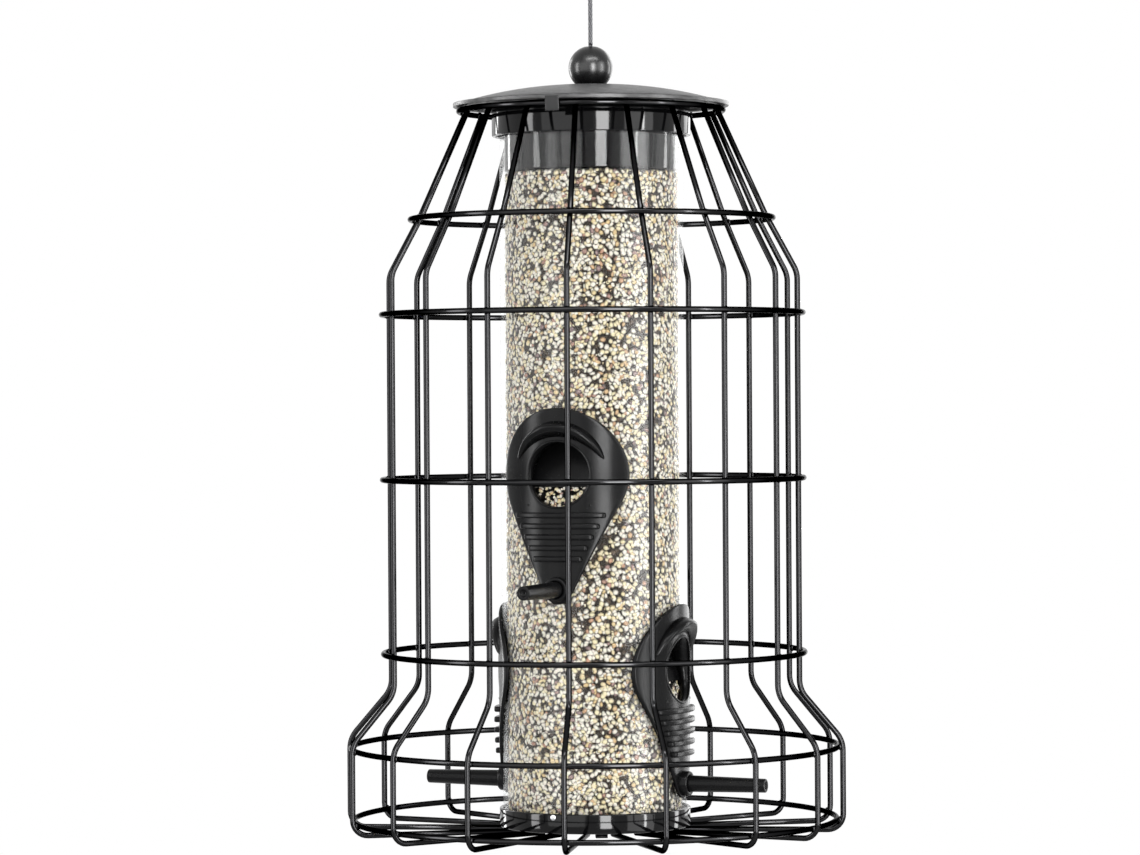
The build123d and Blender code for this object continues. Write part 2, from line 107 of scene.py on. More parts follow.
class CageSizes(bpy.types.PropertyGroup):
    """Sizes of the welded wire cage."""

    wire: length("Wire", 0.0025, "Thickness of the coated wire")
    melt: length("Weld depth", 0.0003, "How deep crossing wires melt into each other")
    uprights: count("Uprights", 16, "Number of upright wires")
    turn: angle("Turn", 15.25, "Where the first upright stands")
    seat: length("Seat", 0.0285, "Radius where the floor wires end under the cup")
    skirt: length("Skirt", 0.10875, "Radius of the skirt")
    skirt_rise: length("Skirt height", 0.0402, "Height where the skirt bends in")
    body: length("Body", 0.09, "Radius of the straight body")
    body_low: length("Body foot", 0.0622, "Height where the body starts")
    body_high: length("Body top", 0.244, "Height where the body bends in")
    shoulder: length("Shoulder", 0.0762, "Radius of the shoulder bend")
    shoulder_rise: length("Shoulder height", 0.2695, "Height of the shoulder bend")
    crown: length("Crown", 0.0554, "Radius of the uprights' upper ends")
    crown_rise: length("Crown height", 0.3155, "Height of the uprights' upper ends")
    foot_bend: length("Foot bend", 0.0068, "Bend radius at the foot of the skirt")
    bend: length("Bend", 0.012, "Bend radius elsewhere")


class TubeSizes(bpy.types.PropertyGroup):
    """Sizes of the seed tube, its cup and its seed."""

    radius: length("Radius", 0.0402, "Outer radius of the clear tube")
    wall: length("Wall", 0.0018, "Wall of the clear tube")
    port_hole: length("Port hole", 0.0156, "Radius of the tube's hole behind a port")
    cup: length("Cup", 0.0418, "Outer radius of the base cup")
    cup_foot: length("Cup foot", 0.0025, "Height of the cup's underside")
    cup_top: length("Cup top", 0.011, "Height of the cup's rim")
    pin_turn: angle("Pin turn", 3.75, "How far the cup's pins stand off the ports' line")
    seed_top: length("Seed top", 0.2885, "Height that the seed reaches")
    grain: length("Grain", 0.0025, "Typical width of a seed")
    grains_round: count("Grains round", 136, "Seeds in one row")


class PortSizes(bpy.types.PropertyGroup):
    """Sizes of a feeding port and its perch."""

    upper: length("Upper height", 0.157, "Height of the upper holes")
    lower: length("Lower height", 0.0715, "Height of the lower holes")
    saddle: length("Saddle", 0.0403, "Radius of the plate's inside")
    plate: length("Plate", 0.0015, "Thickness of the plate")
    head: length("Head", 0.0286, "Radius of the plate's round head")
    foot: length("Foot", 0.0065, "Radius of the plate's foot")
    drop: length("Drop", 0.0495, "From the hole's centre down to the perch")
    hole: length("Hole", 0.0141, "Radius of the feeding hole")
    sleeve: length("Sleeve", 0.0155, "Outer radius of the hood behind the plate")
    # the baffle is a dark sheet of painted shade in the hood's upper part
    shade_baffle_drop: length("Baffle drop", 0.0055, "From the hole's centre down to the baffle's edge")
    shade_baffle: length("Baffle", 0.0012, "Thickness of the hood's baffle")
    visor: length("Visor", 0.022, "Radius of the visor's upper edge")
    visor_wide: length("Visor width", 0.0065, "From the visor's inner edge to its upper edge")
    visor_reach: length("Visor reach", 0.0045, "How far the visor stands out")
    rib: length("Rib", 0.0176, "From the hole's centre down to the first rib")
    rib_step: length("Rib step", 0.0047, "From one rib to the next")
    perch: length("Perch", 0.003, "Radius of the perch pin at its tip")
    perch_root: length("Perch root", 0.0036, "Radius of the perch pin where it leaves the plate")
    perch_tip: length("Perch tip", 0.0796, "Distance of the perch's tip from the tube's axis")


class LidSizes(bpy.types.PropertyGroup):
    """Sizes of the cap, the roof and the ball."""

    collar: length("Collar", 0.0435, "Outer radius of the collar")
    collar_low: length("Collar foot", 0.3043, "Height of the collar's lower edge")
    plug: length("Plug", 0.038, "Outer radius of the plug")
    plug_low: length("Plug foot", 0.289, "Height of the plug's lower edge")
    plate: length("Plate", 0.0022, "Thickness of the cap's plate")
    boss: length("Boss", 0.006, "Radius of the boss under the roof")
    eyelet: length("Eyelet room", 0.0022, "Radius of the holes that the eyelet stands in")
    crown: length("Roof crown", 0.3266, "Height of the roof's crown")
    edge: length("Roof edge", 0.3194, "Height of the dome's edge")
    dome: length("Dome", 0.056, "Radius of the dome")
    hem: length("Hem", 0.0604, "Radius of the roof's hem")
    hem_low: length("Hem foot", 0.31724, "Height of the rolled hem's underside")
    hem_thick: length("Hem thickness", 0.0017, "Thickness of the rolled hem")
    sheet: length("Sheet", 0.0008, "Thickness of the roof's sheet")
    tab: length("Tab", 0.0062, "Width of a folded tab")
    tab_low: length("Tab foot", 0.3119, "Height of the tabs' lower edge")
    ball: length("Ball", 0.0097, "Radius of the stop ball")
    ball_flat: length("Ball flat", 0.006, "Radius of the flat under the ball")


class RopeSizes(bpy.types.PropertyGroup):
    """Sizes of the twisted steel rope."""

    thick: length("Rope", 0.002, "Thickness of the rope")
    lay: length("Lay", 0.0125, "Length of one full twist")
    strands: count("Strands", 6, "Strands round the core")
    bore: length("Bore", 0.0013, "Radius of the bores that the rope runs through")


class Finishes(bpy.types.PropertyGroup):
    """Colours of the finishes."""

    wire: colour("Wire", (0.015, 0.015, 0.0155), "Coating of the wire")
    plastic: colour("Plastic", (0.0025, 0.0025, 0.0028), "Cup, cap and ball")
    satin: colour("Satin plastic", (0.0045, 0.0045, 0.0048), "Ports and perches")
    roof: colour("Roof", (0.03, 0.03, 0.0305), "Paint of the roof")
    steel: colour("Steel", (0.42, 0.42, 0.43), "Fittings of the rope")
    rope: colour("Rope", (0.055, 0.055, 0.058), "Wire rope")
    clear: colour("Clear tube", (0.99, 0.992, 0.99), "What the tube's wall lets through")
    pale_seed: colour("Pale seed", (0.86, 0.81, 0.7), "Most of the seed")
    cream_seed: colour("Cream seed", (0.84, 0.74, 0.48), "Millet")
    gold_seed: colour("Golden seed", (0.74, 0.55, 0.27), "Cracked corn")
    red_seed: colour("Red seed", (0.5, 0.27, 0.17), "Red grains")
    plum_seed: colour("Plum seed", (0.3, 0.2, 0.19), "Purple-brown grains")
    dark_seed: colour("Dark seed", (0.035, 0.028, 0.022), "Dark grains")
    # painted shade between the grains, in lighter specks that run into the dark seed colour
    gap_shade: colour("Dust", (0.14, 0.1, 0.07), "Dust between the grains")


GROUPS = {
    "feeder_cage": CageSizes,
    "feeder_tube": TubeSizes,
    "feeder_port": PortSizes,
    "feeder_lid": LidSizes,
    "feeder_rope": RopeSizes,
    "feeder_finish": Finishes,
}


# Places


def above(height):
    """The frame's height of something at a height above the cage's underside."""
    return FLOOR + height


def outward(turn):
    """The direction away from the tube's axis at an angle."""
    return Vector((math.cos(turn), math.sin(turn), 0))


def turn_round_z(turn):
    """A turn about the tube's axis."""
    return Matrix.Rotation(turn, 4, "Z")


def facing_out(turn, height):
    """Place a piece modelled with Z outwards and Y upwards at an angle and a height."""
    upright = Matrix(((1, 0, 0, 0), (0, 0, -1, 0), (0, 1, 0, 0), (0, 0, 0, 1)))
    return Matrix.Translation((0, 0, above(height))) @ turn_round_z(turn - FRONT) @ upright


def aimed(place, along):
    """Place a shape modelled along Z so that it points along a direction."""
    return Matrix.Translation(place) @ along.to_track_quat("Z", "Y").to_matrix().to_4x4()


def port_places(sizes):
    """Where the ports stand: the angle and the height of each hole."""
    return [(FRONT, sizes.upper), (BACK, sizes.upper), (RIGHT, sizes.lower), (LEFT, sizes.lower)]


def near_port(point, turn, height, radius):
    """Whether a point lies within a radius of a hole's centre line, on the hole's side."""
    out = outward(turn)
    away = point - Vector((0, 0, above(height)))
    reach = away.dot(out)
    return reach > 0 and (away - out * reach).length < radius


def hood_end(rise):
    """The distance of a hood's sloping inner end from the tube's axis, at a rise."""
    tube, ports = bpy.context.scene.feeder_tube, bpy.context.scene.feeder_port
    lip = 0.001  # how far the hood's foot stands in from the tube's wall
    return tube.radius - tube.wall - lip - HOOD_SLOPE * (rise + ports.sleeve)


def round_out(radius, across):
    """How far out a round about the tube's axis stands, off its middle."""
    return math.sqrt(max(0, radius**2 - across**2))


# Modelling


def kind_of(geometry, kind):
    """The vertices, edges or faces among what an operator returned."""
    return [item for item in geometry if isinstance(item, kind)]


def edges_round(verts):
    """The edges that meet at some vertices."""
    return list({e for v in verts for e in v.link_edges})


def soften(bm, width, segments=2, least=35):
    """Bevel the edges where two faces meet at more than an angle in degrees."""
    sharp = [
        e
        for e in bm.edges
        if len(e.link_faces) == 2 and e.calc_face_angle(0) > math.radians(least)
    ]
    bmesh.ops.bevel(
        bm, geom=sharp, offset=width, offset_type="OFFSET", segments=segments, profile=0.5,
        affect="EDGES", clamp_overlap=True, material=-1,
    )


def spin_round(bm, section, steps):
    """Turn a section once round the Z axis."""
    bmesh.ops.spin(
        bm, geom=section, cent=(0, 0, 0), axis=UP, angle=FULL_TURN, steps=steps, use_merge=True
    )
    bmesh.ops.remove_doubles(bm, verts=bm.verts, dist=1e-7)
    bmesh.ops.recalc_face_normals(bm, faces=bm.faces)


def lathe(bm, profile, steps=128):
    """Turn a closed profile of radii and heights once round the Z axis."""
    corners = [bm.verts.new((radius, 0, height)) for radius, height in profile]
    sides = [bm.edges.new(pair) for pair in zip(corners, corners[1:] + corners[:1])]
    spin_round(bm, corners + sides, steps)


def ring_wire(bm, radius, height, thick, steps=160, sides=12):
    """A round wire bent into a closed ring."""
    place = Matrix.Translation((radius, 0, height)) @ Matrix.Rotation(math.pi / 2, 4, "X")
    circle = bmesh.ops.create_circle(bm, segments=sides, radius=thick, matrix=place)["verts"]
    spin_round(bm, circle + edges_round(circle), steps)


def draw_out(bm, edges):
    """Extrude edges: the new faces, the new vertices and the edges between them."""
    drawn = bmesh.ops.extrude_edge_only(bm, edges=edges)["geom"]
    fresh = set(kind_of(drawn, BMVert))
    rim = [e for e in kind_of(drawn, BMEdge) if fresh.issuperset(e.verts)]
    return kind_of(drawn, BMFace), list(fresh), rim


def run_wire(bm, end, step):
    """Draw a wire's end out by a straight step."""
    _, fresh, end = draw_out(bm, end)
    bmesh.ops.translate(bm, verts=fresh, vec=step)
    return end


def bent_wire(bm, points, bends, radius, sides=12, steps=8):
    """A round wire along points, with a bend radius for each inner point."""
    here = points[0]
    place = aimed(here, points[1] - here)
    ring = bmesh.ops.create_circle(bm, cap_ends=True, segments=sides, radius=radius, matrix=place)
    end = edges_round(ring["verts"])
    for corner, after, bend in zip(points[1:], points[2:], bends):
        before = (corner - here).normalized()
        leaving = (after - corner).normalized()
        turn = before.angle(leaving)
        axis = before.cross(leaving).normalized()
        trim = bend * math.tan(turn / 2)
        end = run_wire(bm, end, corner - before * trim - here)
        centre = corner - before * trim + axis.cross(before) * bend
        bent = bmesh.ops.spin(
            bm, geom=end, cent=centre, axis=axis, angle=turn, steps=steps, use_merge=False
        )
        end = kind_of(bent["geom_last"], BMEdge)
        here = corner + leaving * trim
    end = run_wire(bm, end, points[-1] - here)
    bmesh.ops.contextual_create(bm, geom=end)
    bmesh.ops.recalc_face_normals(bm, faces=bm.faces)


def thicken(bm, faces, depth):
    """Give flat faces a thickness along Z."""
    drawn = bmesh.ops.extrude_face_region(bm, geom=faces)["geom"]
    bmesh.ops.translate(bm, verts=kind_of(drawn, BMVert), vec=(0, 0, depth))
    bmesh.ops.recalc_face_normals(bm, faces=bm.faces)


def cut_across(bm, place, normal, **choices):
    """Cut a shape through at a plane."""
    whole = bm.verts[:] + bm.edges[:] + bm.faces[:]
    bmesh.ops.bisect_plane(bm, geom=whole, plane_co=place, plane_no=normal, **choices)


def box(bm, place, size):
    """Add a box of a size at a place and return its vertices."""
    matrix = place @ Matrix.Diagonal((*size, 1))
    return bmesh.ops.create_cube(bm, size=1, matrix=matrix)["verts"]


def wrap(bm):
    """Lay flat work round the tube: its Z becomes the radius from the tube's axis."""
    for v in bm.verts:
        v.co.z = round_out(v.co.z, v.co.x)


def as_mesh(bm, name):
    """Turn what was modelled into a mesh."""
    mesh = bpy.data.meshes.new(name)
    bm.to_mesh(mesh)
    bm.free()
    return mesh


def join(bm, part):
    """Add a part that was modelled in a mesh of its own."""
    held = as_mesh(part, "part")
    bm.from_mesh(held)
    bpy.data.meshes.remove(held)


def copies(pattern, places):
    """A model that holds a copy of a mesh at each place."""
    bm = bmesh.new()
    for matrix in places:
        pattern.transform(matrix)
        bm.from_mesh(pattern)
        pattern.transform(matrix.inverted())
    return bm


def scatter(shape, places):
    """A model that holds a copy of a finished shape at each place."""
    pattern = as_mesh(shape, "pattern")
    bm = copies(pattern, places)
    bpy.data.meshes.remove(pattern)
    return bm


def place_piece(bm, name, body, finish_name, *nodes):
    """Make a finished object of a model, which rides on a body and stands for CAD nodes."""
    if not FINISHES:
        make_finishes(bpy.context.scene.feeder_finish)
    mesh = as_mesh(bm, name)
    mesh.shade_smooth()
    mesh.materials.append(FINISHES[finish_name])
    piece = bpy.data.objects.new(name, mesh)
    bpy.context.scene.collection.objects.link(piece)
    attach(piece, body)
    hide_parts(*nodes)
    return piece


def turned(name, body, finish_name, node, profile, steps=128, edge=(0.0005, 3)):
    """Turn a piece from its profile, with its edges softened."""
    bm = bmesh.new()
    lathe(bm, profile, steps)
    soften(bm, *edge)
    place_piece(bm, name, body, finish_name, node)


# Finishes, whose noises are scaled in grains for each metre of the object

FINISHES = {}


def shader_of(material):
    """The material's shader."""
    return material.node_tree.nodes["Principled BSDF"]


def finish(name, base, roughness, metallic=0.0, specular=0.5):
    """A material with its plain values set."""
    material = bpy.data.materials.new(name)
    material.use_nodes = True
    inputs = shader_of(material).inputs
    inputs["Base Color"].default_value = (*base, 1)
    inputs["Roughness"].default_value = roughness
    inputs["Metallic"].default_value = metallic
    inputs["Specular IOR Level"].default_value = specular
    return material


def add_node(owner, kind, joins=(), **values):
    """Add a node, set its inputs and settings, and join other nodes' outputs to it."""
    node = owner.node_tree.nodes.new(kind)
    for key, value in values.items():
        if key in node.inputs:
            node.inputs[key].default_value = value
        else:
            setattr(node, key, value)
    for source, output, entry in joins:
        owner.node_tree.links.new(source.outputs[output], node.inputs[entry])
    return node


def feed(material, source, output, entry):
    """Join a node's output to the material's shader."""
    material.node_tree.links.new(source.outputs[output], shader_of(material).inputs[entry])


def object_place(material):
    """A node that gives the place and the normal in the object's own space."""
    return add_node(material, "ShaderNodeTexCoord")


def object_noise(material, scale, detail=4.0):
    """A noise that lies in the object's own space."""
    joins = [(object_place(material), "Object", "Vector")]
    return add_node(material, "ShaderNodeTexNoise", joins, Scale=scale, Detail=detail)


def map_range(owner, join_in, low, high, start=0.0, stop=1.0):
    """Carry a value between a start and a stop over to the range from low to high."""
    values = {"From Min": start, "From Max": stop, "To Min": low, "To Max": high}
    return add_node(owner, "ShaderNodeMapRange", [(*join_in, "Value")], **values)


def times(material, source, output, factor):
    """A value times a factor."""
    node = add_node(material, "ShaderNodeMath", [(source, output, 0)], operation="MULTIPLY")
    node.inputs[1].default_value = factor
    return node


def greater(owner, *sources):
    """The greater of two nodes' values."""
    joins = [(*source, entry) for entry, source in enumerate(sources)]
    return add_node(owner, "ShaderNodeMath", joins, operation="MAXIMUM")


def off_axis(material, place, operation):
    """The place without its height, taken as a length or as a direction."""
    level = add_node(
        material, "ShaderNodeVectorMath", [(place, "Object", 0)], operation="MULTIPLY"
    )
    level.inputs[1].default_value = (1, 1, 0)
    return add_node(
        material, "ShaderNodeVectorMath", [(level, "Vector", 0)], operation=operation
    )


def ramp(material, join_in, stops):
    """Colours that run from stop to stop."""
    node = add_node(material, "ShaderNodeValToRGB", [(*join_in, "Fac")])
    elements = node.color_ramp.elements
    elements[0].position, elements[1].position = stops[0][0], stops[-1][0]
    for position, _ in stops[1:-1]:
        elements.new(position)
    for element, (_, tone) in zip(elements, stops):
        element.color = (*tone, 1)
    return node


def multiply(material, first, second, factor):
    """One node's colour times another's."""
    joins = [(*first, 6), (*second, 7)]
    values = {"data_type": "RGBA", "blend_type": "MULTIPLY", "Factor": factor}
    return add_node(material, "ShaderNodeMix", joins, **values)


def uneven(material, scale, low, high):
    """Let the roughness wander between two values."""
    wander = map_range(material, (object_noise(material, scale), "Fac"), low, high)
    feed(material, wander, "Result", "Roughness")


def grained(material, scale, depth, strength, detail=4.0):
    """Give the surface a fine grain of a depth in metres."""
    joins = [(object_noise(material, scale, detail), "Fac", "Height")]
    bump = add_node(material, "ShaderNodeBump", joins, Strength=strength, Distance=depth)
    feed(material, bump, "Normal", "Normal")


def make_finishes(sizes):
    """Make every finish of the feeder, kept by name."""
    # name, colour, roughness, metallic, specular; roughness: scale, least and most;
    # grain: scale, depth, strength and any detail of its own
    for name, base, roughness, metallic, specular, wander, grain in (
        ("coated_wire", sizes.wire, 0.13, 1, 0.5, (900, 0.08, 0.18), (1500, 0.00003, 0.12)),
        ("gloss_plastic", sizes.plastic, 0.08, 0, 0.17, (160, 0.04, 0.11), (260, 0.00005, 0.1, 2)),
        ("satin_plastic", sizes.satin, 0.25, 0, 0.085, (700, 0.18, 0.32), (2600, 0.00005, 0.3)),
        ("tab_paint", sizes.roof, 0.22, 0, 0.1, (800, 0.18, 0.28), (2200, 0.00004, 0.3)),
        ("ball_plastic", sizes.plastic, 0.27, 0, 0.36, (300, 0.22, 0.33), (900, 0.00003, 0.15)),
        ("roof_paint", sizes.roof, 0.36, 0, 0.34, (800, 0.28, 0.46), (2200, 0.00006, 0.4)),
        ("steel", sizes.steel, 0.3, 1, 0.5, (2500, 0.22, 0.42), None),
        ("rope_steel", sizes.rope, 0.35, 1, 0.5, (3000, 0.25, 0.5), None),
    ):
        material = finish(name, base, roughness, metallic, specular)
        uneven(material, *wander)
        if grain:
            grained(material, *grain)
        FINISHES[name] = material
    # the black coating mirrors straight on and stays dark at the wire's sides
    shader_of(FINISHES["coated_wire"]).inputs["Specular Tint"].default_value = (0, 0, 0, 1)
    spun_marks_and_sheen(FINISHES["roof_paint"], sizes.roof)
    FINISHES["clear_plastic"] = clear_finish(sizes)
    FINISHES["seed"] = seed_finish(sizes)
    FINISHES["seed_shade_bed"] = shade_bed_finish(sizes)


def spun_marks_and_sheen(material, base):
    """Let the paint's tone wander in short streaks round the roof, where it was spun."""
    place = object_place(material)
    apart = add_node(material, "ShaderNodeSeparateXYZ", [(place, "Object", "Vector")])
    joins = [(apart, "Y", 0), (apart, "X", 1)]
    turn = add_node(material, "ShaderNodeMath", joins, operation="ARCTAN2")
    reach = off_axis(material, place, "LENGTH")
    fine, long = 900, 9  # streaks for a metre across them, and for each radian along them
    joins = [
        (times(material, reach, "Value", fine), "Value", "X"),
        (times(material, turn, "Value", long), "Value", "Y"),
        (times(material, apart, "Z", fine), "Value", "Z"),
    ]
    streak = add_node(material, "ShaderNodeCombineXYZ", joins)
    joins = [(streak, "Vector", "Vector")]
    noise = add_node(material, "ShaderNodeTexNoise", joins, Scale=1.0, Detail=3.0)
    # the darker streaks are spun marks, the lighter ones painted sheen
    stops = [(at, [share * tone for tone in base]) for at, share in ((0.38, 0.3), (0.66, 2.4))]
    feed(material, ramp(material, (noise, "Fac"), stops), "Color", "Base Color")


def clear_finish(sizes):
    """Clear plastic that mirrors at its edges and lets lamps through."""
    material = finish("clear_plastic", (1, 1, 1), 0.14, metallic=1)
    uneven(material, 90, 0.1, 0.18)
    film = add_node(material, "ShaderNodeBsdfTransparent", Color=(*sizes.clear, 1))
    edge = add_node(material, "ShaderNodeLayerWeight", Blend=0.055)
    share = map_range(material, (edge, "Facing"), 0.006, 0.9)
    joins = [(share, "Result", 0), (film, "BSDF", 1), (shader_of(material), "BSDF", 2)]
    mix = add_node(material, "ShaderNodeMixShader", joins)
    surface = material.node_tree.nodes["Material Output"].inputs["Surface"]
    material.node_tree.links.new(mix.outputs["Shader"], surface)
    return material


def seed_finish(sizes):
    """Grains whose colour goes from cream to gold, red and dark from grain to grain."""
    material = finish("seed", sizes.pale_seed, 0.5, specular=0.35)
    stops = (
        (0.0, sizes.pale_seed),
        (0.46, sizes.pale_seed),
        (0.54, sizes.cream_seed),
        (0.76, sizes.cream_seed),
        (0.85, sizes.gold_seed),
        (0.92, sizes.red_seed),
        (0.96, sizes.plum_seed),
        (1.0, sizes.dark_seed),
    )
    grain = add_node(material, "ShaderNodeNewGeometry")
    tones = ramp(material, (grain, "Random Per Island"), stops)
    mottle = object_noise(material, 1400, 3.0)
    skin = multiply(material, (tones, "Color"), (mottle, "Color"), 0.3)
    # painted shade, with some dust, gathers where a grain turns away from the tube's wall or the
    # top
    place = object_place(material)
    away = off_axis(material, place, "NORMALIZE")
    joins = [(away, "Vector", 0), (place, "Normal", 1)]
    facing = add_node(material, "ShaderNodeVectorMath", joins, operation="DOT_PRODUCT")
    rise = add_node(material, "ShaderNodeSeparateXYZ", [(place, "Normal", "Vector")])
    tilted = times(material, rise, "Z", 0.8)
    open_side = greater(material, (facing, "Value"), (tilted, "Value"))
    painted_crevice_shade = map_range(material, (open_side, "Value"), 0.02, 1.0, 0.44, 0.88)
    feed(material, multiply(material, (skin, 2), (painted_crevice_shade, "Result"), 1.0), 2, "Base Color")
    return material


def shade_bed_finish(sizes):
    """What shows in the gaps between the grains."""
    material = finish("seed_shade_bed", sizes.dark_seed, 0.8, specular=0.1)
    joins = [(object_place(material), "Object", "Vector")]
    cells = add_node(material, "ShaderNodeTexVoronoi", joins, Scale=420.0)
    # painted shade: lighter specks in cells that run into the dark seed colour
    stops = ((0.0, sizes.gap_shade), (0.45, sizes.dark_seed))
    feed(material, ramp(material, (cells, "Distance"), stops), "Color", "Base Color")
    return material


# Operators


class FEEDER_OT_camera(bpy.types.Operator):
    """Set the camera at the height and side from which the feeder is seen"""

    bl_idname = "feeder.camera"
    bl_label = "Camera"

    def execute(self, context):
        side = math.radians(22.3)
        distance = 1.9
        field = 0.4995  # width that the frame covers at the tube's axis
        eye_height, aim_height = 0.188, 0.1769
        aside = 0.01  # how far the tube's axis stands off the frame's middle
        lean = math.radians(-0.35)
        away = Vector((math.sin(side), -math.cos(side), 0))
        across = Vector((math.cos(side), math.sin(side), 0))
        camera = bpy.data.cameras.new("camera")
        camera.sensor_width = 36
        camera.lens = camera.sensor_width * distance / field
        camera.clip_end = 50
        holder = bpy.data.objects.new("camera", camera)
        context.scene.collection.objects.link(holder)
        stand = away * distance - across * aside + UP * above(eye_height)
        back = stand + across * aside - UP * above(aim_height)
        holder.matrix_world = aimed(stand, back) @ Matrix.Rotation(lean, 4, "Z")
        context.scene.camera = holder
        return {"FINISHED"}


def smooth_line(controls):
    """The points of the smooth line that a rope's control points give."""
    curve = bpy.data.curves.new("route", "CURVE")
    curve.dimensions = "3D"
    spline = curve.splines.new("NURBS")
    spline.points.add(len(controls) - 1)
    for point, place in zip(spline.points, controls):
        point.co = (*place, 1)
    spline.order_u = 3
    spline.use_endpoint_u = True
    spline.resolution_u = 8
    holder = bpy.data.objects.new("route", curve)
    drawn = bpy.data.meshes.new_from_object(holder)
    points = [v.co.copy() for v in drawn.vertices]
    bpy.data.meshes.remove(drawn)
    bpy.data.objects.remove(holder)
    bpy.data.curves.remove(curve)
    return points


def twisted_rope(bm, points, sizes, steps_per_lay=10):
    """Twist strands round a core along points that lie close together."""
    strand = sizes.thick / 2 * 0.36
    reach = sizes.thick / 2 - strand
    travelled = [0.0]
    for a, b in zip(points, points[1:]):
        travelled.append(travelled[-1] + (b - a).length)
    total = travelled[-1]
    steps = max(8, round(total / sizes.lay * steps_per_lay))

    def at(distance):
        """The place and the direction of the line at a distance along it."""
        index = max(i for i, d in enumerate(travelled[:-1]) if d <= distance + 1e-9)
        share = (distance - travelled[index]) / (travelled[index + 1] - travelled[index])
        along = (points[index + 1] - points[index]).normalized()
        return points[index].lerp(points[index + 1], min(1, share)), along

    for number in range(sizes.strands):
        rings = []
        for step in range(steps + 1):
            distance = total * step / steps
            place, along = at(distance)
            aside = Vector((0, 1, 0)).cross(along).normalized()
            other = along.cross(aside)
            turn = FULL_TURN * (distance / sizes.lay + number / sizes.strands)
            centre = place + (aside * math.cos(turn) + other * math.sin(turn)) * reach
            ring = bmesh.ops.create_circle(
                bm, cap_ends=step in (0, steps), segments=6, radius=strand,
                matrix=aimed(centre, along),
            )
            rings.append(edges_round(ring["verts"]))
        for first, second in zip(rings, rings[1:]):
            bmesh.ops.bridge_loops(bm, edges=first + second)
    bmesh.ops.recalc_face_normals(bm, faces=bm.faces)


class FEEDER_OT_rope(bpy.types.Operator):
    """Twist the steel rope, close its eye and crimp it, and set its anchor"""

    bl_idname = "feeder.rope"
    bl_label = "Rope"

    def execute(self, context):
        sizes = context.scene.feeder_rope
        middle = (BALL_HIGH + FERRULE_LOW) / 2
        line = smooth_line([Vector((0, 0, z)) for z in (BALL_HIGH, middle, FERRULE_LOW)])
        hanging = self.strands("hanging_rope_strands", "hanging_rope", line, sizes)
        loop_piece = self.strands("rope_eye_strands", "rope_eye", self.eye_line(sizes), sizes)
        crimp = self.crimp()
        ends = [Vector((0, 0, corner[2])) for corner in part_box("core_rope")]
        self.strands("core_rope_strands", "core_rope", ends, sizes, 8)
        pressed_bore = 0.0006
        for node, bore in (("anchor_washer", sizes.bore), ("anchor_ferrule", pressed_bore)):
            (_, _, low), (radius, _, high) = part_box(node)
            profile = [(bore, low), (radius, low), (radius, high), (bore, high)]
            turned(node + "_turned", "feeder", "steel", node, profile, 32, (0.0003,))
        return {"FINISHED"}

    def strands(self, name, node, line, sizes, *steps):
        """A stretch of rope along a line."""
        bm = bmesh.new()
        twisted_rope(bm, line, sizes, *steps)
        return place_piece(bm, name, "feeder", "rope_steel", node)

    def eye_line(self, sizes):
        """The line of the eye: up from the crimp, round and down again."""
        low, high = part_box("rope_eye")
        loop = (high[0] - low[0]) / 2 - sizes.thick / 2
        centre = Vector((0, 0, high[2] - sizes.thick / 2 - loop))
        leg = Vector((sizes.thick / 2 + 0.0003, 0, FERRULE_HIGH))
        bulge = ((1.04, -0.62), (1.08, 0.42), (0.62, 1.06))  # in shares of the loop's radius
        half = [leg, leg + UP * sizes.thick]
        half += [centre + Vector((across * loop, 0, rise * loop)) for across, rise in bulge]
        return smooth_line(half + [Vector((-p.x, p.y, p.z)) for p in reversed(half)])

    def crimp(self):
        """The sleeve pressed flat over the eye's two legs, with three waists."""
        low, high = (Vector(corner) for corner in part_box("eye_ferrule"))
        tall = high.z - low.z
        pressed, waists = 0.14, 3
        bm = bmesh.new()
        box(bm, Matrix.Translation((high + low) / 2), high - low)
        upright = [e for e in bm.edges if abs(e.verts[0].co.z - e.verts[1].co.z) > tall / 2]
        bmesh.ops.subdivide_edges(bm, edges=upright, cuts=8)
        soften(bm, 0.0012, 4)
        for v in bm.verts:
            share = (v.co.z - low.z) / tall
            v.co.y *= 1 - pressed + pressed * abs(math.sin(share * waists * math.pi))
        return place_piece(bm, "crimped_sleeve", "feeder", "steel", "eye_ferrule")


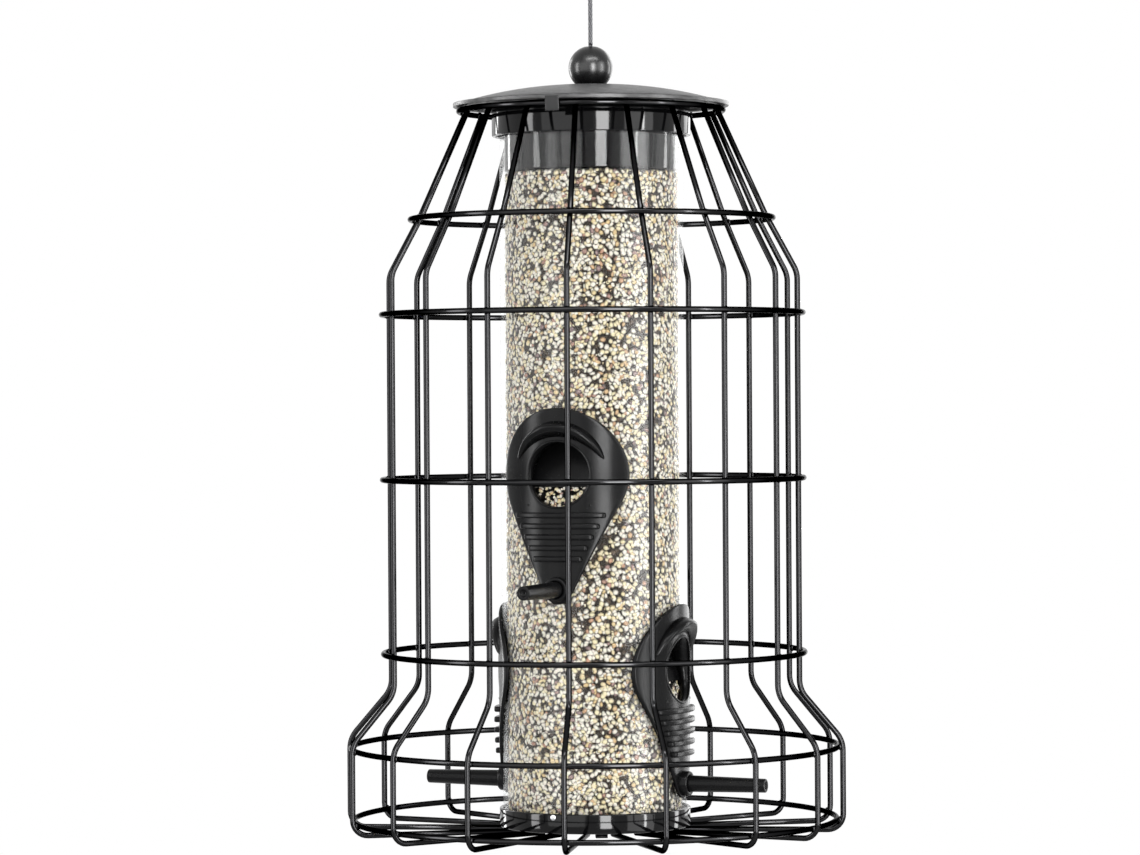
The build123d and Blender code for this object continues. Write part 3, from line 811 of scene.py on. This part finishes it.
class FEEDER_OT_cage(bpy.types.Operator):
    """Bend the uprights, close the rings and weld them where they cross"""

    bl_idname = "feeder.cage"
    bl_label = "Cage"

    def execute(self, context):
        sizes = context.scene.feeder_cage
        half = sizes.wire / 2
        corners = [
            (sizes.seat, half),
            (sizes.skirt, half),
            (sizes.skirt, sizes.skirt_rise),
            (sizes.body, sizes.body_low),
            (sizes.body, sizes.body_high),
            (sizes.shoulder, sizes.shoulder_rise),
            (sizes.crown, sizes.crown_rise),
        ]
        points = [Vector((radius, 0, above(height))) for radius, height in corners]
        bends = [sizes.foot_bend] + [sizes.bend] * (len(points) - 3)
        for number, turn in enumerate(self.turns(sizes), 1):
            bm = bmesh.new()
            bent_wire(bm, points, bends, half)
            bmesh.ops.transform(bm, matrix=turn, verts=bm.verts)
            node = f"cage_wire_{number:02d}"
            place_piece(bm, f"upright_{number:02d}", "feeder", "coated_wire", node)
        for node in sorted(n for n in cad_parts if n.endswith("_ring")):
            low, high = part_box(node)
            height = (low[2] + high[2]) / 2
            radius = self.ring_radius(node, height, points, sizes)
            bm = bmesh.new()
            ring_wire(bm, radius, height, half)
            if node != "seat_ring":
                self.weld(bm, radius, height, points, sizes)
            place_piece(bm, node + "_wire", "feeder", "coated_wire", node)
        return {"FINISHED"}

    def turns(self, sizes):
        """The turn of each upright about the tube's axis."""
        steps = range(sizes.uprights)
        return [turn_round_z(sizes.turn + FULL_TURN * step / sizes.uprights) for step in steps]

    def upright_at(self, height, points):
        """The uprights' radius and lean at a height."""
        for low, high in zip(points[1:], points[2:]):
            if low.z < height <= high.z + 1e-5:
                share = (height - low.z) / (high.z - low.z)
                return low.lerp(high, share).x, math.atan2(abs(high.x - low.x), high.z - low.z)
        raise RuntimeError("no upright at this height")

    def ring_radius(self, node, height, points, sizes):
        """The radius of a ring that is welded inside or outside the uprights."""
        if node == "seat_ring":
            low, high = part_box(node)
            return (high[0] - low[0]) / 2 - sizes.wire / 2 - PLAY
        radius, lean = self.upright_at(height, points)
        apart = sizes.wire - sizes.melt
        if node == "base_ring":
            # this ring lies in the bend at the foot of the skirt
            drop = sizes.foot_bend - (height - points[0].z)
            return radius - sizes.foot_bend + math.sqrt((sizes.foot_bend - apart) ** 2 - drop**2)
        step = apart / math.cos(lean)
        return radius - step if node == "skirt_ring" else radius + step

    def weld(self, bm, radius, height, points, sizes):
        """Set a small bead of weld where the ring crosses each upright."""
        upright, _ = self.upright_at(height, points)
        bead = sizes.wire * 0.52
        shape = Matrix.Diagonal((0.75, 1.25, 1.25, 1))  # drawn out along both wires
        spot = Matrix.Translation(((radius + upright) / 2, 0, height)) @ shape
        for turn in self.turns(sizes):
            bmesh.ops.create_icosphere(bm, subdivisions=2, radius=bead, matrix=turn @ spot)


class FEEDER_OT_tube(bpy.types.Operator):
    """Turn the clear tube with its port holes, and the cup that it stands in"""

    bl_idname = "feeder.tube"
    bl_label = "Tube and cup"

    def execute(self, context):
        sizes = context.scene.feeder_tube
        self.tube(sizes, port_places(context.scene.feeder_port))
        self.cup(sizes, context.scene.feeder_rope.bore, context.scene.feeder_cage)
        self.pins(sizes)
        return {"FINISHED"}

    def tube(self, sizes, holes):
        """The tube, turned in small faces, which are taken out where a port sits."""
        rows = 96
        heights = [TUBE_LOW + (TUBE_HIGH - TUBE_LOW) * row / rows for row in range(rows + 1)]
        inside = sizes.radius - sizes.wall
        bm = bmesh.new()
        lathe(
            bm, [(sizes.radius, z) for z in heights] + [(inside, z) for z in heights[::-1]], 160
        )
        cut = [
            face
            for face in bm.faces
            if any(near_port(face.calc_center_median(), *at, sizes.port_hole) for at in holes)
        ]
        bmesh.ops.delete(bm, geom=cut, context="FACES")
        margin = sizes.port_hole * 1.4  # wide enough for the whole ragged edge
        for at in holes:
            rim = [e for e in bm.edges if e.is_boundary and near_port(e.verts[0].co, *at, margin)]
            bmesh.ops.bridge_loops(bm, edges=rim)
        bmesh.ops.recalc_face_normals(bm, faces=bm.faces)
        place_piece(bm, "clear_tube", "feeder", "clear_plastic", "seed_tube")

    def cup(self, sizes, bore, cage):
        """The cup, with a recess under its floor and four lugs over the cage's seat."""
        foot, top = above(sizes.cup_foot), above(sizes.cup_top)
        recess, recess_deep = 0.034, 0.0036
        seat = sizes.radius + PLAY
        bm = bmesh.new()
        profile = [
            (bore, foot + recess_deep),
            (recess, foot + recess_deep),
            (recess, foot),
            (sizes.cup, foot),
            (sizes.cup, top),
            (seat, top),
            (seat, TUBE_LOW),
            (bore, TUBE_LOW),
        ]
        lathe(bm, profile)
        soften(bm, 0.0006, 3)
        # each lug's foot and its root in the cup: radius, height, length and thickness
        lugs, lug_wide = 4, 0.005
        blocks = ((0.0332, 0.0011, 0.0067, 0.0014), (0.03455, 0.0016, 0.0039, 0.0024))
        for lug in range(lugs):
            gap = lug * cage.uprights / lugs + 0.5  # the middle of a gap between uprights
            turn = turn_round_z(cage.turn + FULL_TURN * gap / cage.uprights)
            for radius, height, long, thick in blocks:
                place = turn @ Matrix.Translation((radius, 0, above(height)))
                box(bm, place, (long, lug_wide, thick))
        place_piece(bm, "cup_turned", "feeder", "gloss_plastic", "base_cup")

    def pins(self, sizes):
        """The domed heads of the pins that hold the tube in the cup."""
        height = (TUBE_LOW + above(sizes.cup_top)) / 2
        head = 0.0013
        dome = Matrix.Diagonal((1, 1, 0.38, 1))
        bm = bmesh.new()
        for turn in (FRONT - sizes.pin_turn, BACK - sizes.pin_turn):
            out = outward(turn)
            place = aimed(out * sizes.cup + UP * height, out) @ dome
            bmesh.ops.create_icosphere(bm, subdivisions=3, radius=head, matrix=place)
        place_piece(bm, "cup_pin_heads", "feeder", "steel", "cup_pins")


def grain_shape(size, stretch, flat):
    """One seed, a little longer than wide."""
    bm = bmesh.new()
    bmesh.ops.create_icosphere(bm, subdivisions=1, radius=size / 2)
    bmesh.ops.scale(bm, verts=bm.verts, vec=(1, stretch, flat))
    return bm


def tumble(rng):
    """A turn about a random axis."""
    return Matrix.Rotation(rng.uniform(0, 6), 4, Vector((1, rng.random(), rng.random())))


def seed_band(sizes, rows, rng):
    """Rows of seed that lie against the tube's inside, from height zero up."""
    inside = sizes.radius - sizes.wall
    row_step = FULL_TURN * inside / sizes.grains_round * 0.72
    # width, length and flatness of each kind of grain
    shapes = ((0.95, 1.35, 0.7), (0.78, 1.85, 0.65), (1.1, 1.15, 0.75), (0.85, 1.55, 0.6))
    on_its_side = Matrix.Rotation(math.pi / 2, 4, "Y")
    band = bmesh.new()
    for kind, (width, stretch, flat) in enumerate(shapes):
        places = []
        for row in range(rows):
            for place in range(sizes.grains_round):
                if (place * 7 + row * 5 + rng.randrange(4)) % len(shapes) != kind:
                    continue
                aside = place + 0.5 * (row % 2) + rng.uniform(-0.3, 0.3)
                depth = inside - sizes.grain * rng.uniform(0.42, 0.9)
                height = (row + 0.5 + rng.uniform(-0.35, 0.35)) * row_step
                spin = Matrix.Rotation(rng.uniform(0, FULL_TURN), 4, "X")
                tip = Matrix.Rotation(rng.uniform(-0.35, 0.35), 4, "Y")
                swell = Matrix.Scale(rng.uniform(0.85, 1.15), 4)
                stand = turn_round_z(aside * FULL_TURN / sizes.grains_round)
                stand = stand @ Matrix.Translation((depth, 0, height))
                places.append(stand @ tip @ spin @ on_its_side @ swell)
        join(band, scatter(grain_shape(sizes.grain * width, stretch, flat), places))
    return band, rows * row_step


class FEEDER_OT_seed(bpy.types.Operator):
    """Fill the tube with seed and bank it up in the ports"""

    bl_idname = "feeder.seed"
    bl_label = "Seed"

    def execute(self, context):
        sizes = context.scene.feeder_tube
        ports = context.scene.feeder_port
        rng = random.Random(7)
        high = above(sizes.seed_top)
        self.bed(sizes, ports, context.scene.feeder_rope.bore, high)
        self.rows(sizes, ports, rng, high)
        self.top_seed(sizes, rng, high)
        self.sill_seed(sizes, ports, rng)
        return {"FINISHED"}

    def clear_ports(self, bm, ports):
        """Take out the seed in the hoods' room."""
        reach = ports.sleeve + 0.0004
        for at in port_places(ports):
            gone = [v for v in bm.verts if near_port(v.co, *at, reach)]
            bmesh.ops.delete(bm, geom=gone, context="VERTS")

    def bed(self, sizes, ports, bore, high):
        """The dark body of the seed, which shows between the grains."""
        core = sizes.radius - sizes.wall - sizes.grain * 0.6
        top = high - 0.001  # the grains on top cover it
        rows = 150  # small faces, so that the hoods' room comes out of it cleanly
        side = [(core, TUBE_LOW + (top - TUBE_LOW) * row / rows) for row in range(rows + 1)]
        bm = bmesh.new()
        lathe(bm, [(bore, TUBE_LOW)] + side + [(bore, top)])
        self.clear_ports(bm, ports)
        place_piece(bm, "seed_shade_bed", "feeder", "seed_shade_bed", "seed_fill")

    def rows(self, sizes, ports, rng, high):
        """The grains along the tube's wall, in bands that repeat at turns of their own."""
        band, tall = seed_band(sizes, 12, rng)
        room = high - TUBE_LOW - sizes.grain * 0.4
        bands = max(1, round(room / tall))
        pitch = room / bands
        places = [
            Matrix.Translation((0, 0, TUBE_LOW + pitch * number))
            @ turn_round_z(rng.uniform(0, FULL_TURN))
            @ Matrix.Diagonal((1, 1, pitch / tall, 1))
            for number in range(bands)
        ]
        pattern = as_mesh(band, "band")
        share = (bands + 3) // 4
        for number, first in enumerate(range(0, bands, share), 1):
            bm = copies(pattern, places[first : first + share])
            self.clear_ports(bm, ports)
            place_piece(bm, f"seed_rows_{number}", "feeder", "seed", "seed_fill")
        bpy.data.meshes.remove(pattern)

    def loose_seed(self, name, sizes, places):
        """Loose grains at places."""
        bm = scatter(grain_shape(sizes.grain, 1.25, 0.8), places)
        place_piece(bm, name, "feeder", "seed", "seed_fill")

    def top_seed(self, sizes, rng, high):
        """Scatter seed over the level top, clear of the rope."""
        places = []
        grains, rope_room = 1200, 0.003
        reach = sizes.radius - sizes.wall - sizes.grain
        for _ in range(grains):
            radius = reach * math.sqrt(rng.random())
            if radius < rope_room:
                continue
            at = outward(rng.uniform(0, FULL_TURN)) * radius
            at.z = high - sizes.grain * rng.uniform(0.3, 0.7)
            places.append(Matrix.Translation(at) @ tumble(rng))
        self.loose_seed("seed_top", sizes, places)

    def sill_seed(self, sizes, ports, rng):
        """Bank seed against the sloping inner end of each hood, up to the baffle."""
        inside = sizes.radius - sizes.wall
        grains, overlap = 900, 0.001
        reach = ports.hole + 0.0012
        places = []
        for at in port_places(ports):
            stand = facing_out(*at)
            for _ in range(grains):
                radius = reach * math.sqrt(rng.random())
                across, rise, _ = outward(rng.uniform(0, FULL_TURN)) * radius
                # seed lies only below the baffle, whose painted shade fills the hood's upper part
                if rise > overlap - ports.shade_baffle_drop:
                    continue
                depth = min(hood_end(rise), round_out(inside, across) - sizes.grain * 0.6)
                depth -= sizes.grain * rng.uniform(0.2, 0.8)
                places.append(stand @ Matrix.Translation((across, rise, depth)) @ tumble(rng))
        self.loose_seed("seed_sills", sizes, places)


def drop_radius(turn, sizes):
    """The teardrop's reach from the hole's centre in a direction."""
    head, foot, drop = sizes.head, sizes.foot, sizes.drop
    tangent = math.asin((head - foot) / drop)
    across, rise = abs(math.cos(turn)), math.sin(turn)
    if rise >= -math.sin(tangent) + 1e-9:
        return head
    touch = (foot * math.cos(tangent), -drop - foot * math.sin(tangent))
    if drop * across < foot and across < touch[0] / math.hypot(*touch):
        return -drop * rise + round_out(foot, drop * across)
    # the straight side, which touches both rounds
    return head / (across * math.cos(tangent) - rise * math.sin(tangent))


class FEEDER_OT_ports(bpy.types.Operator):
    """Mould the feeding ports with their visors, ribs and hoods, and fit the perches"""

    bl_idname = "feeder.ports"
    bl_label = "Ports and perches"

    def execute(self, context):
        sizes = context.scene.feeder_port
        shapes = (
            self.plate, self.rim, self.visor, self.ribs, self.hood, self.shade_baffle, self.hub,
            self.marks,
        )
        for name, (turn, height) in zip(PORT_NAMES, port_places(sizes)):
            self.fit(f"{name}_port_moulding", f"{name}_port", shapes, turn, height)
            self.fit(f"{name}_perch_pin", f"{name}_perch", [self.perch], turn, height - sizes.drop)
        return {"FINISHED"}

    def fit(self, name, node, shapes, turn, height):
        """Model a piece shape by shape and place it on the tube."""
        sizes = bpy.context.scene.feeder_port
        bm = bmesh.new()
        for shape in shapes:
            part = bmesh.new()
            shape(part, sizes)
            join(bm, part)
        bmesh.ops.transform(bm, matrix=facing_out(turn, height), verts=bm.verts)
        place_piece(bm, name, "feeder", "satin_plastic", node)

    def plate(self, bm, sizes):
        """The plate, from the hole out to the teardrop."""
        steps, rows = 144, 10
        rim = edges_round(bmesh.ops.create_circle(bm, segments=steps, radius=sizes.hole)["verts"])
        made = []
        for row in range(1, rows + 1):
            faces, fresh, rim = draw_out(bm, rim)
            made += faces
            for v in fresh:
                turn = math.atan2(v.co.y, v.co.x)
                v.co = outward(turn) * (
                    sizes.hole + (drop_radius(turn, sizes) - sizes.hole) * row / rows
                )
        bmesh.ops.translate(bm, verts=bm.verts, vec=(0, 0, sizes.saddle))
        thicken(bm, made, sizes.plate)
        soften(bm, 0.0004, 3, 50)
        wrap(bm)

    def rim(self, bm, sizes):
        """A thin round rim on the edge of the feeding hole."""
        bead = 0.0005
        centre = sizes.saddle + sizes.plate - bead * 0.35
        ring_wire(bm, sizes.hole + bead * 0.6, centre, bead, 96, 10)
        wrap(bm)

    def visor(self, bm, sizes):
        """A crescent that stands out over the hole, with its lip sloping up."""
        wide, outer = sizes.visor_wide, sizes.visor
        tip = math.asin(wide / outer)  # where each end of the crescent lies
        sweep = math.pi - 2 * tip
        # how far in from the visor's upper edge, and what share of its reach out
        section = ((wide, 0), (0.0022, 1), (0.0008, 1), (0, 0.75), (-0.0012, 0))
        corners = []
        for inset, lift in section:
            corners.append(bm.verts.new(outward(tip) * (outer - inset) + UP * lift))
        face = bm.faces.new(corners)
        bmesh.ops.spin(
            bm, geom=[face] + list(face.edges) + corners, cent=(0, 0, 0), axis=UP, angle=sweep,
            steps=40, use_merge=False,
        )
        middle = outer - 0.001  # the line on which the ends come together
        root = sizes.saddle + sizes.plate / 2
        reach = sizes.visor_reach + sizes.plate / 2
        thin_end, low_end, fullness = 0.1, 0.12, 0.6
        for v in bm.verts:
            radius = math.hypot(v.co.x, v.co.y)
            turn = math.atan2(v.co.y, v.co.x)
            grow = max(0.0, math.sin((turn - tip) / sweep * math.pi)) ** fullness
            radius = middle + (radius - middle) * (thin_end + (1 - thin_end) * grow)
            lift = v.co.z * reach * (low_end + (1 - low_end) * grow)
            v.co = outward(turn) * radius + UP * (root + lift)
        wrap(bm)
        bmesh.ops.recalc_face_normals(bm, faces=bm.faces)

    def ribs(self, bm, sizes):
        """Ribs across the plate below the hole."""
        ribs, slices = 5, 16
        inset, tall, deep = 0.0026, 0.0024, 0.0032
        out = sizes.saddle + sizes.plate + 0.0006  # where the middle of a rib lies
        tangent = math.asin((sizes.head - sizes.foot) / sizes.drop)
        for rib in range(ribs):
            rise = -sizes.rib - sizes.rib_step * rib
            half = (sizes.head + rise * math.sin(tangent)) / math.cos(tangent) - inset
            bar = bmesh.new()
            box(bar, Matrix.Identity(4), (2 * half, tall, deep))
            soften(bar, 0.0007, 3)
            for cut in range(1, slices):
                cut_across(bar, (half * (2 * cut / slices - 1), 0, 0), (1, 0, 0))
            bmesh.ops.translate(bar, verts=bar.verts, vec=(0, rise, out))
            wrap(bar)
            join(bm, bar)

    def hood(self, bm, sizes):
        """The hood behind the plate, cut to its sloping inner end."""
        root = sizes.saddle + sizes.plate * 0.7
        near, far = [], []
        for radius in (sizes.sleeve, sizes.hole):
            ring = bmesh.ops.create_circle(bm, segments=96, radius=radius)["verts"]
            edges = edges_round(ring)
            _, deep, rim = draw_out(bm, edges)
            near += edges
            far += rim
            for v in ring:
                v.co.z = round_out(root, v.co.x)
            for v in deep:
                v.co.z = hood_end(v.co.y)
        bmesh.ops.bridge_loops(bm, edges=near)
        bmesh.ops.bridge_loops(bm, edges=far)
        bmesh.ops.recalc_face_normals(bm, faces=bm.faces)

    def shade_baffle(self, bm, sizes):
        """The sloping wall that closes the hood's upper part."""
        cuts, first, step = 12, 0.0015, 0.0017
        sunk = 0.0002  # how much smaller it is than the hood, so that it ends in its wall
        bmesh.ops.create_circle(bm, cap_ends=True, segments=96, radius=sizes.sleeve - sunk)
        for cut in range(cuts):
            cut_across(bm, (0, sizes.sleeve - first - step * cut, 0), (0, 1, 0))
        cut_across(bm, (0, -sizes.shade_baffle_drop, 0), (0, 1, 0), clear_inner=True)
        thicken(bm, bm.faces[:], sizes.shade_baffle)
        for v in bm.verts:
            v.co.z += hood_end(v.co.y)
        soften(bm, 0.0003, 2, 50)

    def marks(self, bm, sizes):
        """Two small round marks beside the hole's foot."""
        across, drop, mark = 0.0143, 0.0132, 0.0006
        out = round_out(sizes.saddle + sizes.plate, across)
        dome = Matrix.Diagonal((1, 1, 0.45, 1))
        for side in (-1, 1):
            lean = Matrix.Rotation(side * math.asin(across / sizes.saddle), 4, "Y")
            place = Matrix.Translation((side * across, -drop, out)) @ lean @ dome
            bmesh.ops.create_icosphere(bm, subdivisions=2, radius=mark, matrix=place)

    def hub(self, bm, sizes):
        """The boss that holds the perch."""
        low = sizes.saddle + sizes.plate - 0.0012
        high = sizes.saddle + sizes.plate + 0.003
        bore = sizes.perch_root + PLAY
        lathe(bm, [(bore, low), (0.0056, low), (0.0053, high), (bore, high)], 48)
        soften(bm, 0.0005, 3)
        bmesh.ops.translate(bm, verts=bm.verts, vec=(0, -sizes.drop, 0))

    def perch(self, bm, sizes):
        """A round pin with a rounded end and a shallow recess in it."""
        centre = 0.0002  # the least radius that is turned
        recess, recess_foot = 0.0016, 0.0013
        profile = [
            (centre, sizes.saddle),
            (sizes.perch_root, sizes.saddle),
            (sizes.perch_root, sizes.saddle + 0.006),
            (sizes.perch, sizes.perch_tip),
            (recess, sizes.perch_tip),
            (recess_foot, sizes.perch_tip - 0.0007),
            (centre, sizes.perch_tip - 0.0009),
        ]
        lathe(bm, profile, 40)
        soften(bm, 0.0009, 4, 50)


class FEEDER_OT_lid(bpy.types.Operator):
    """Turn the cap, the roof with its hem and tabs, and the eyelet"""

    bl_idname = "feeder.lid"
    bl_label = "Cap and roof"

    def execute(self, context):
        sizes = context.scene.feeder_lid
        self.cap(sizes)
        self.roof(sizes)
        self.tabs(sizes)
        self.eyelet(sizes, context.scene.feeder_rope.bore)
        return {"FINISHED"}

    def cap(self, sizes):
        """The cap: a plug in the tube, a collar round it, and a boss that carries the roof."""
        plug_wall, collar_wall = 0.0016, 0.0018
        plug_low, collar_low = above(sizes.plug_low), above(sizes.collar_low)
        plate_top = TUBE_HIGH + sizes.plate
        boss_top = above(sizes.crown) - sizes.sheet
        profile = [
            (sizes.eyelet, TUBE_HIGH),
            (sizes.plug - plug_wall, TUBE_HIGH),
            (sizes.plug - plug_wall, plug_low),
            (sizes.plug, plug_low),
            (sizes.plug, TUBE_HIGH),
            (sizes.collar - collar_wall, TUBE_HIGH),
            (sizes.collar - collar_wall, collar_low),
            (sizes.collar, collar_low),
            (sizes.collar, plate_top),
            (sizes.boss, plate_top),
            (sizes.boss, boss_top),
            (sizes.eyelet, boss_top),
        ]
        turned("cap_turned", "lid", "gloss_plastic", "top_cap", profile)

    def roof(self, sizes):
        """The roof: a flat over the boss, a shallow dome and a rolled hem."""
        crown = above(sizes.crown)
        hem_low = above(sizes.hem_low)
        hem_high = hem_low + sizes.hem_thick
        chords = 14
        span, drop = sizes.dome - sizes.boss, sizes.crown - sizes.edge
        curve = (span**2 + drop**2) / (2 * drop)
        upper, under = [], []
        for step in range(chords + 1):
            radius = sizes.boss + span * step / chords
            height = crown - curve + math.sqrt(curve**2 - (radius - sizes.boss) ** 2)
            upper.append((radius, height))
            under.append((radius - sizes.sheet * radius / sizes.dome, height - sizes.sheet))
        hem = [
            (sizes.dome, hem_high),
            (sizes.hem, hem_high),
            (sizes.hem, hem_low),
            (sizes.dome - sizes.sheet, hem_low),
        ]
        top, bottom = (sizes.eyelet, crown), (sizes.eyelet, crown - sizes.sheet)
        profile = [top] + upper + hem + under[::-1] + [bottom]
        turned("roof_spun", "lid", "roof_paint", "roof", profile, 192, (0.0006, 3, 50))

    def tabs(self, sizes):
        """The two tabs that are folded down over the cage's crown."""
        low = above(sizes.tab_low)
        tall = above(sizes.hem_low) + sizes.hem_thick - low - 0.0006
        tuck = Matrix.Rotation(math.radians(5), 4, "Y")
        aside = math.radians(6)
        stand = Matrix.Translation((sizes.hem - sizes.sheet / 2, 0, low + tall / 2)) @ tuck
        bm = bmesh.new()
        for turn in (FRONT, BACK):
            verts = box(bm, turn_round_z(turn + aside) @ stand, (sizes.sheet, sizes.tab, tall))
            bmesh.ops.bevel(
                bm, geom=edges_round(verts), offset=0.0004, segments=3, profile=0.5,
                affect="EDGES", material=-1,
            )
        place_piece(bm, "roof_tabs", "lid", "tab_paint", "roof")

    def eyelet(self, sizes, bore):
        """The eyelet that lines the rope's way through cap and roof."""
        low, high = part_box("roof_eyelet")
        top = min(high[2], above(sizes.crown))
        outside, flange = 0.0021, 0.0037
        profile = [
            (bore, low[2]),
            (flange, low[2]),
            (flange, TUBE_HIGH),
            (outside, TUBE_HIGH),
            (outside, top),
            (bore, top),
        ]
        turned("eyelet_turned", "lid", "steel", "roof_eyelet", profile, 40, (0.0002,))


class FEEDER_OT_ball(bpy.types.Operator):
    """Turn the stop ball with its flat and its bore"""

    bl_idname = "feeder.ball"
    bl_label = "Ball"

    def execute(self, context):
        sizes = context.scene.feeder_lid
        bore = context.scene.feeder_rope.bore
        flat = math.acos(sizes.ball_flat / sizes.ball)
        top = math.acos(2 * bore / sizes.ball)
        seat = above(sizes.crown)  # the roof's crown carries the ball
        centre = seat + sizes.ball * math.sin(flat)
        steps, dimple = 28, 0.0006
        arc = []
        for step in range(steps + 1):
            rise = -flat + (flat + top) * step / steps
            arc.append((sizes.ball * math.cos(rise), centre + sizes.ball * math.sin(rise)))
        profile = [(bore, seat)] + arc + [(bore, arc[-1][1] - dimple)]
        turned("ball_turned", "ball", "ball_plastic", "stop_ball", profile, 72, (0.0004, 3, 50))
        return {"FINISHED"}


class FEEDER_OT_studio(bpy.types.Operator):
    """Set the floor, the pale surroundings and the soft lamps"""

    bl_idname = "feeder.studio"
    bl_label = "Studio"

    def execute(self, context):
        self.world(context.scene)
        self.floor(context)
        # degrees from the camera's side, height over the middle, distance, width, height, watts
        for place in (
            (57, 0.1, 1.5, 1.0, 1.5, 20),
            (-35, 0.2, 1.6, 1.4, 1.3, 13),
            (-20, 1.6, 1.6, 1.6, 1.6, 11),
            (150, 0.3, 1.6, 0.8, 1.2, 8),
        ):
            self.lamp(context, *place)
        # the strips draw lines on the black pieces and leave the clear tube plain
        shaded = bpy.data.collections.new("kept_off")
        shaded.objects.link(bpy.data.objects["clear_tube"])
        shaded.collection_objects[0].light_linking.link_state = "EXCLUDE"
        for place in (
            (13, 0.1, 1.45, 0.36, 1.2, 46),
            (62, 0.1, 1.4, 0.07, 1.2, 12),
            (-76, 0.1, 1.45, 0.3, 1.2, 18),
            (115, 0.1, 1.45, 0.2, 1.2, 10),
            (-140, 0.1, 1.45, 0.2, 1.2, 8),
            (10, 1.25, 1.0, 1.4, 0.22, 20),
        ):
            strip = self.lamp(context, *place)
            strip.visible_diffuse = False
            strip.light_linking.receiver_collection = shaded
        context.scene.view_settings.view_transform = "Standard"
        return {"FINISHED"}

    def world(self, scene):
        """White to the camera and in reflections, and a plain grey light on surfaces."""
        world = bpy.data.worlds.new("surroundings")
        scene.world = world
        world.use_nodes = True
        back = world.node_tree.nodes["Background"]
        back.inputs["Color"].default_value = (1, 1, 1, 1)
        path = add_node(world, "ShaderNodeLightPath")
        seen = greater(world, (path, "Is Camera Ray"), (path, "Is Glossy Ray"))
        seen = greater(world, (seen, "Value"), (path, "Is Transmission Ray"))
        level = map_range(world, (seen, "Value"), 0.74, 1.0)
        world.node_tree.links.new(level.outputs["Result"], back.inputs["Strength"])

    def floor(self, context):
        """A pale floor well below the hanging feeder."""
        half, drop = 1.2, 0.5
        bm = bmesh.new()
        bmesh.ops.create_grid(bm, x_segments=1, y_segments=1, size=half)
        bmesh.ops.translate(bm, verts=bm.verts, vec=(0, 0, FLOOR - drop))
        mesh = as_mesh(bm, "studio_floor")
        mesh.materials.append(finish("studio_floor", (0.8, 0.8, 0.8), 0.7))
        ground = bpy.data.objects.new("studio_floor", mesh)
        context.scene.collection.objects.link(ground)

    def lamp(self, context, turn, rise, away, wide, tall, watts):
        """A soft lamp that faces the feeder."""
        camera = context.scene.camera.matrix_world.translation
        start = math.atan2(camera.y, camera.x)
        middle = Vector((0, 0, above(0.17)))
        place = middle + outward(start + math.radians(turn)) * away + UP * rise
        light = bpy.data.lights.new("soft_lamp", "AREA")
        light.shape = "RECTANGLE"
        light.size, light.size_y = wide, tall
        light.energy = watts
        holder = bpy.data.objects.new("soft_lamp", light)
        context.scene.collection.objects.link(holder)
        holder.matrix_world = aimed(place, place - middle)
        return holder


class FEEDER_PT_panel(bpy.types.Panel):
    """Lists the steps that build the feeder"""

    bl_label = "Feeder"
    bl_space_type = "VIEW_3D"
    bl_region_type = "UI"
    bl_category = "Feeder"

    def draw(self, context):
        for operator in OPERATORS:
            self.layout.operator(operator.bl_idname)
        for name, group in GROUPS.items():
            column = self.layout.column(heading=group.__doc__)
            for key in group.__annotations__:
                column.prop(getattr(context.scene, name), key)


OPERATORS = (
    FEEDER_OT_camera,
    FEEDER_OT_rope,
    FEEDER_OT_cage,
    FEEDER_OT_tube,
    FEEDER_OT_seed,
    FEEDER_OT_ports,
    FEEDER_OT_lid,
    FEEDER_OT_ball,
    FEEDER_OT_studio,
)
CLASSES = (*GROUPS.values(), *OPERATORS, FEEDER_PT_panel)


def register():
    """Make the sizes, the steps and the panel known."""
    for item in CLASSES:
        bpy.utils.register_class(item)
    for name, group in GROUPS.items():
        setattr(bpy.types.Scene, name, PointerProperty(type=group))


def unregister():
    """Take them away again."""
    for name in GROUPS:
        delattr(bpy.types.Scene, name)
    for item in reversed(CLASSES):
        bpy.utils.unregister_class(item)


def main():
    """Build the feeder step by step and note its size."""
    register()
    for operator in OPERATORS:
        group, step = operator.bl_idname.split(".")
        getattr(getattr(bpy.ops, group), step)()


if __name__ == "__main__":
    main()
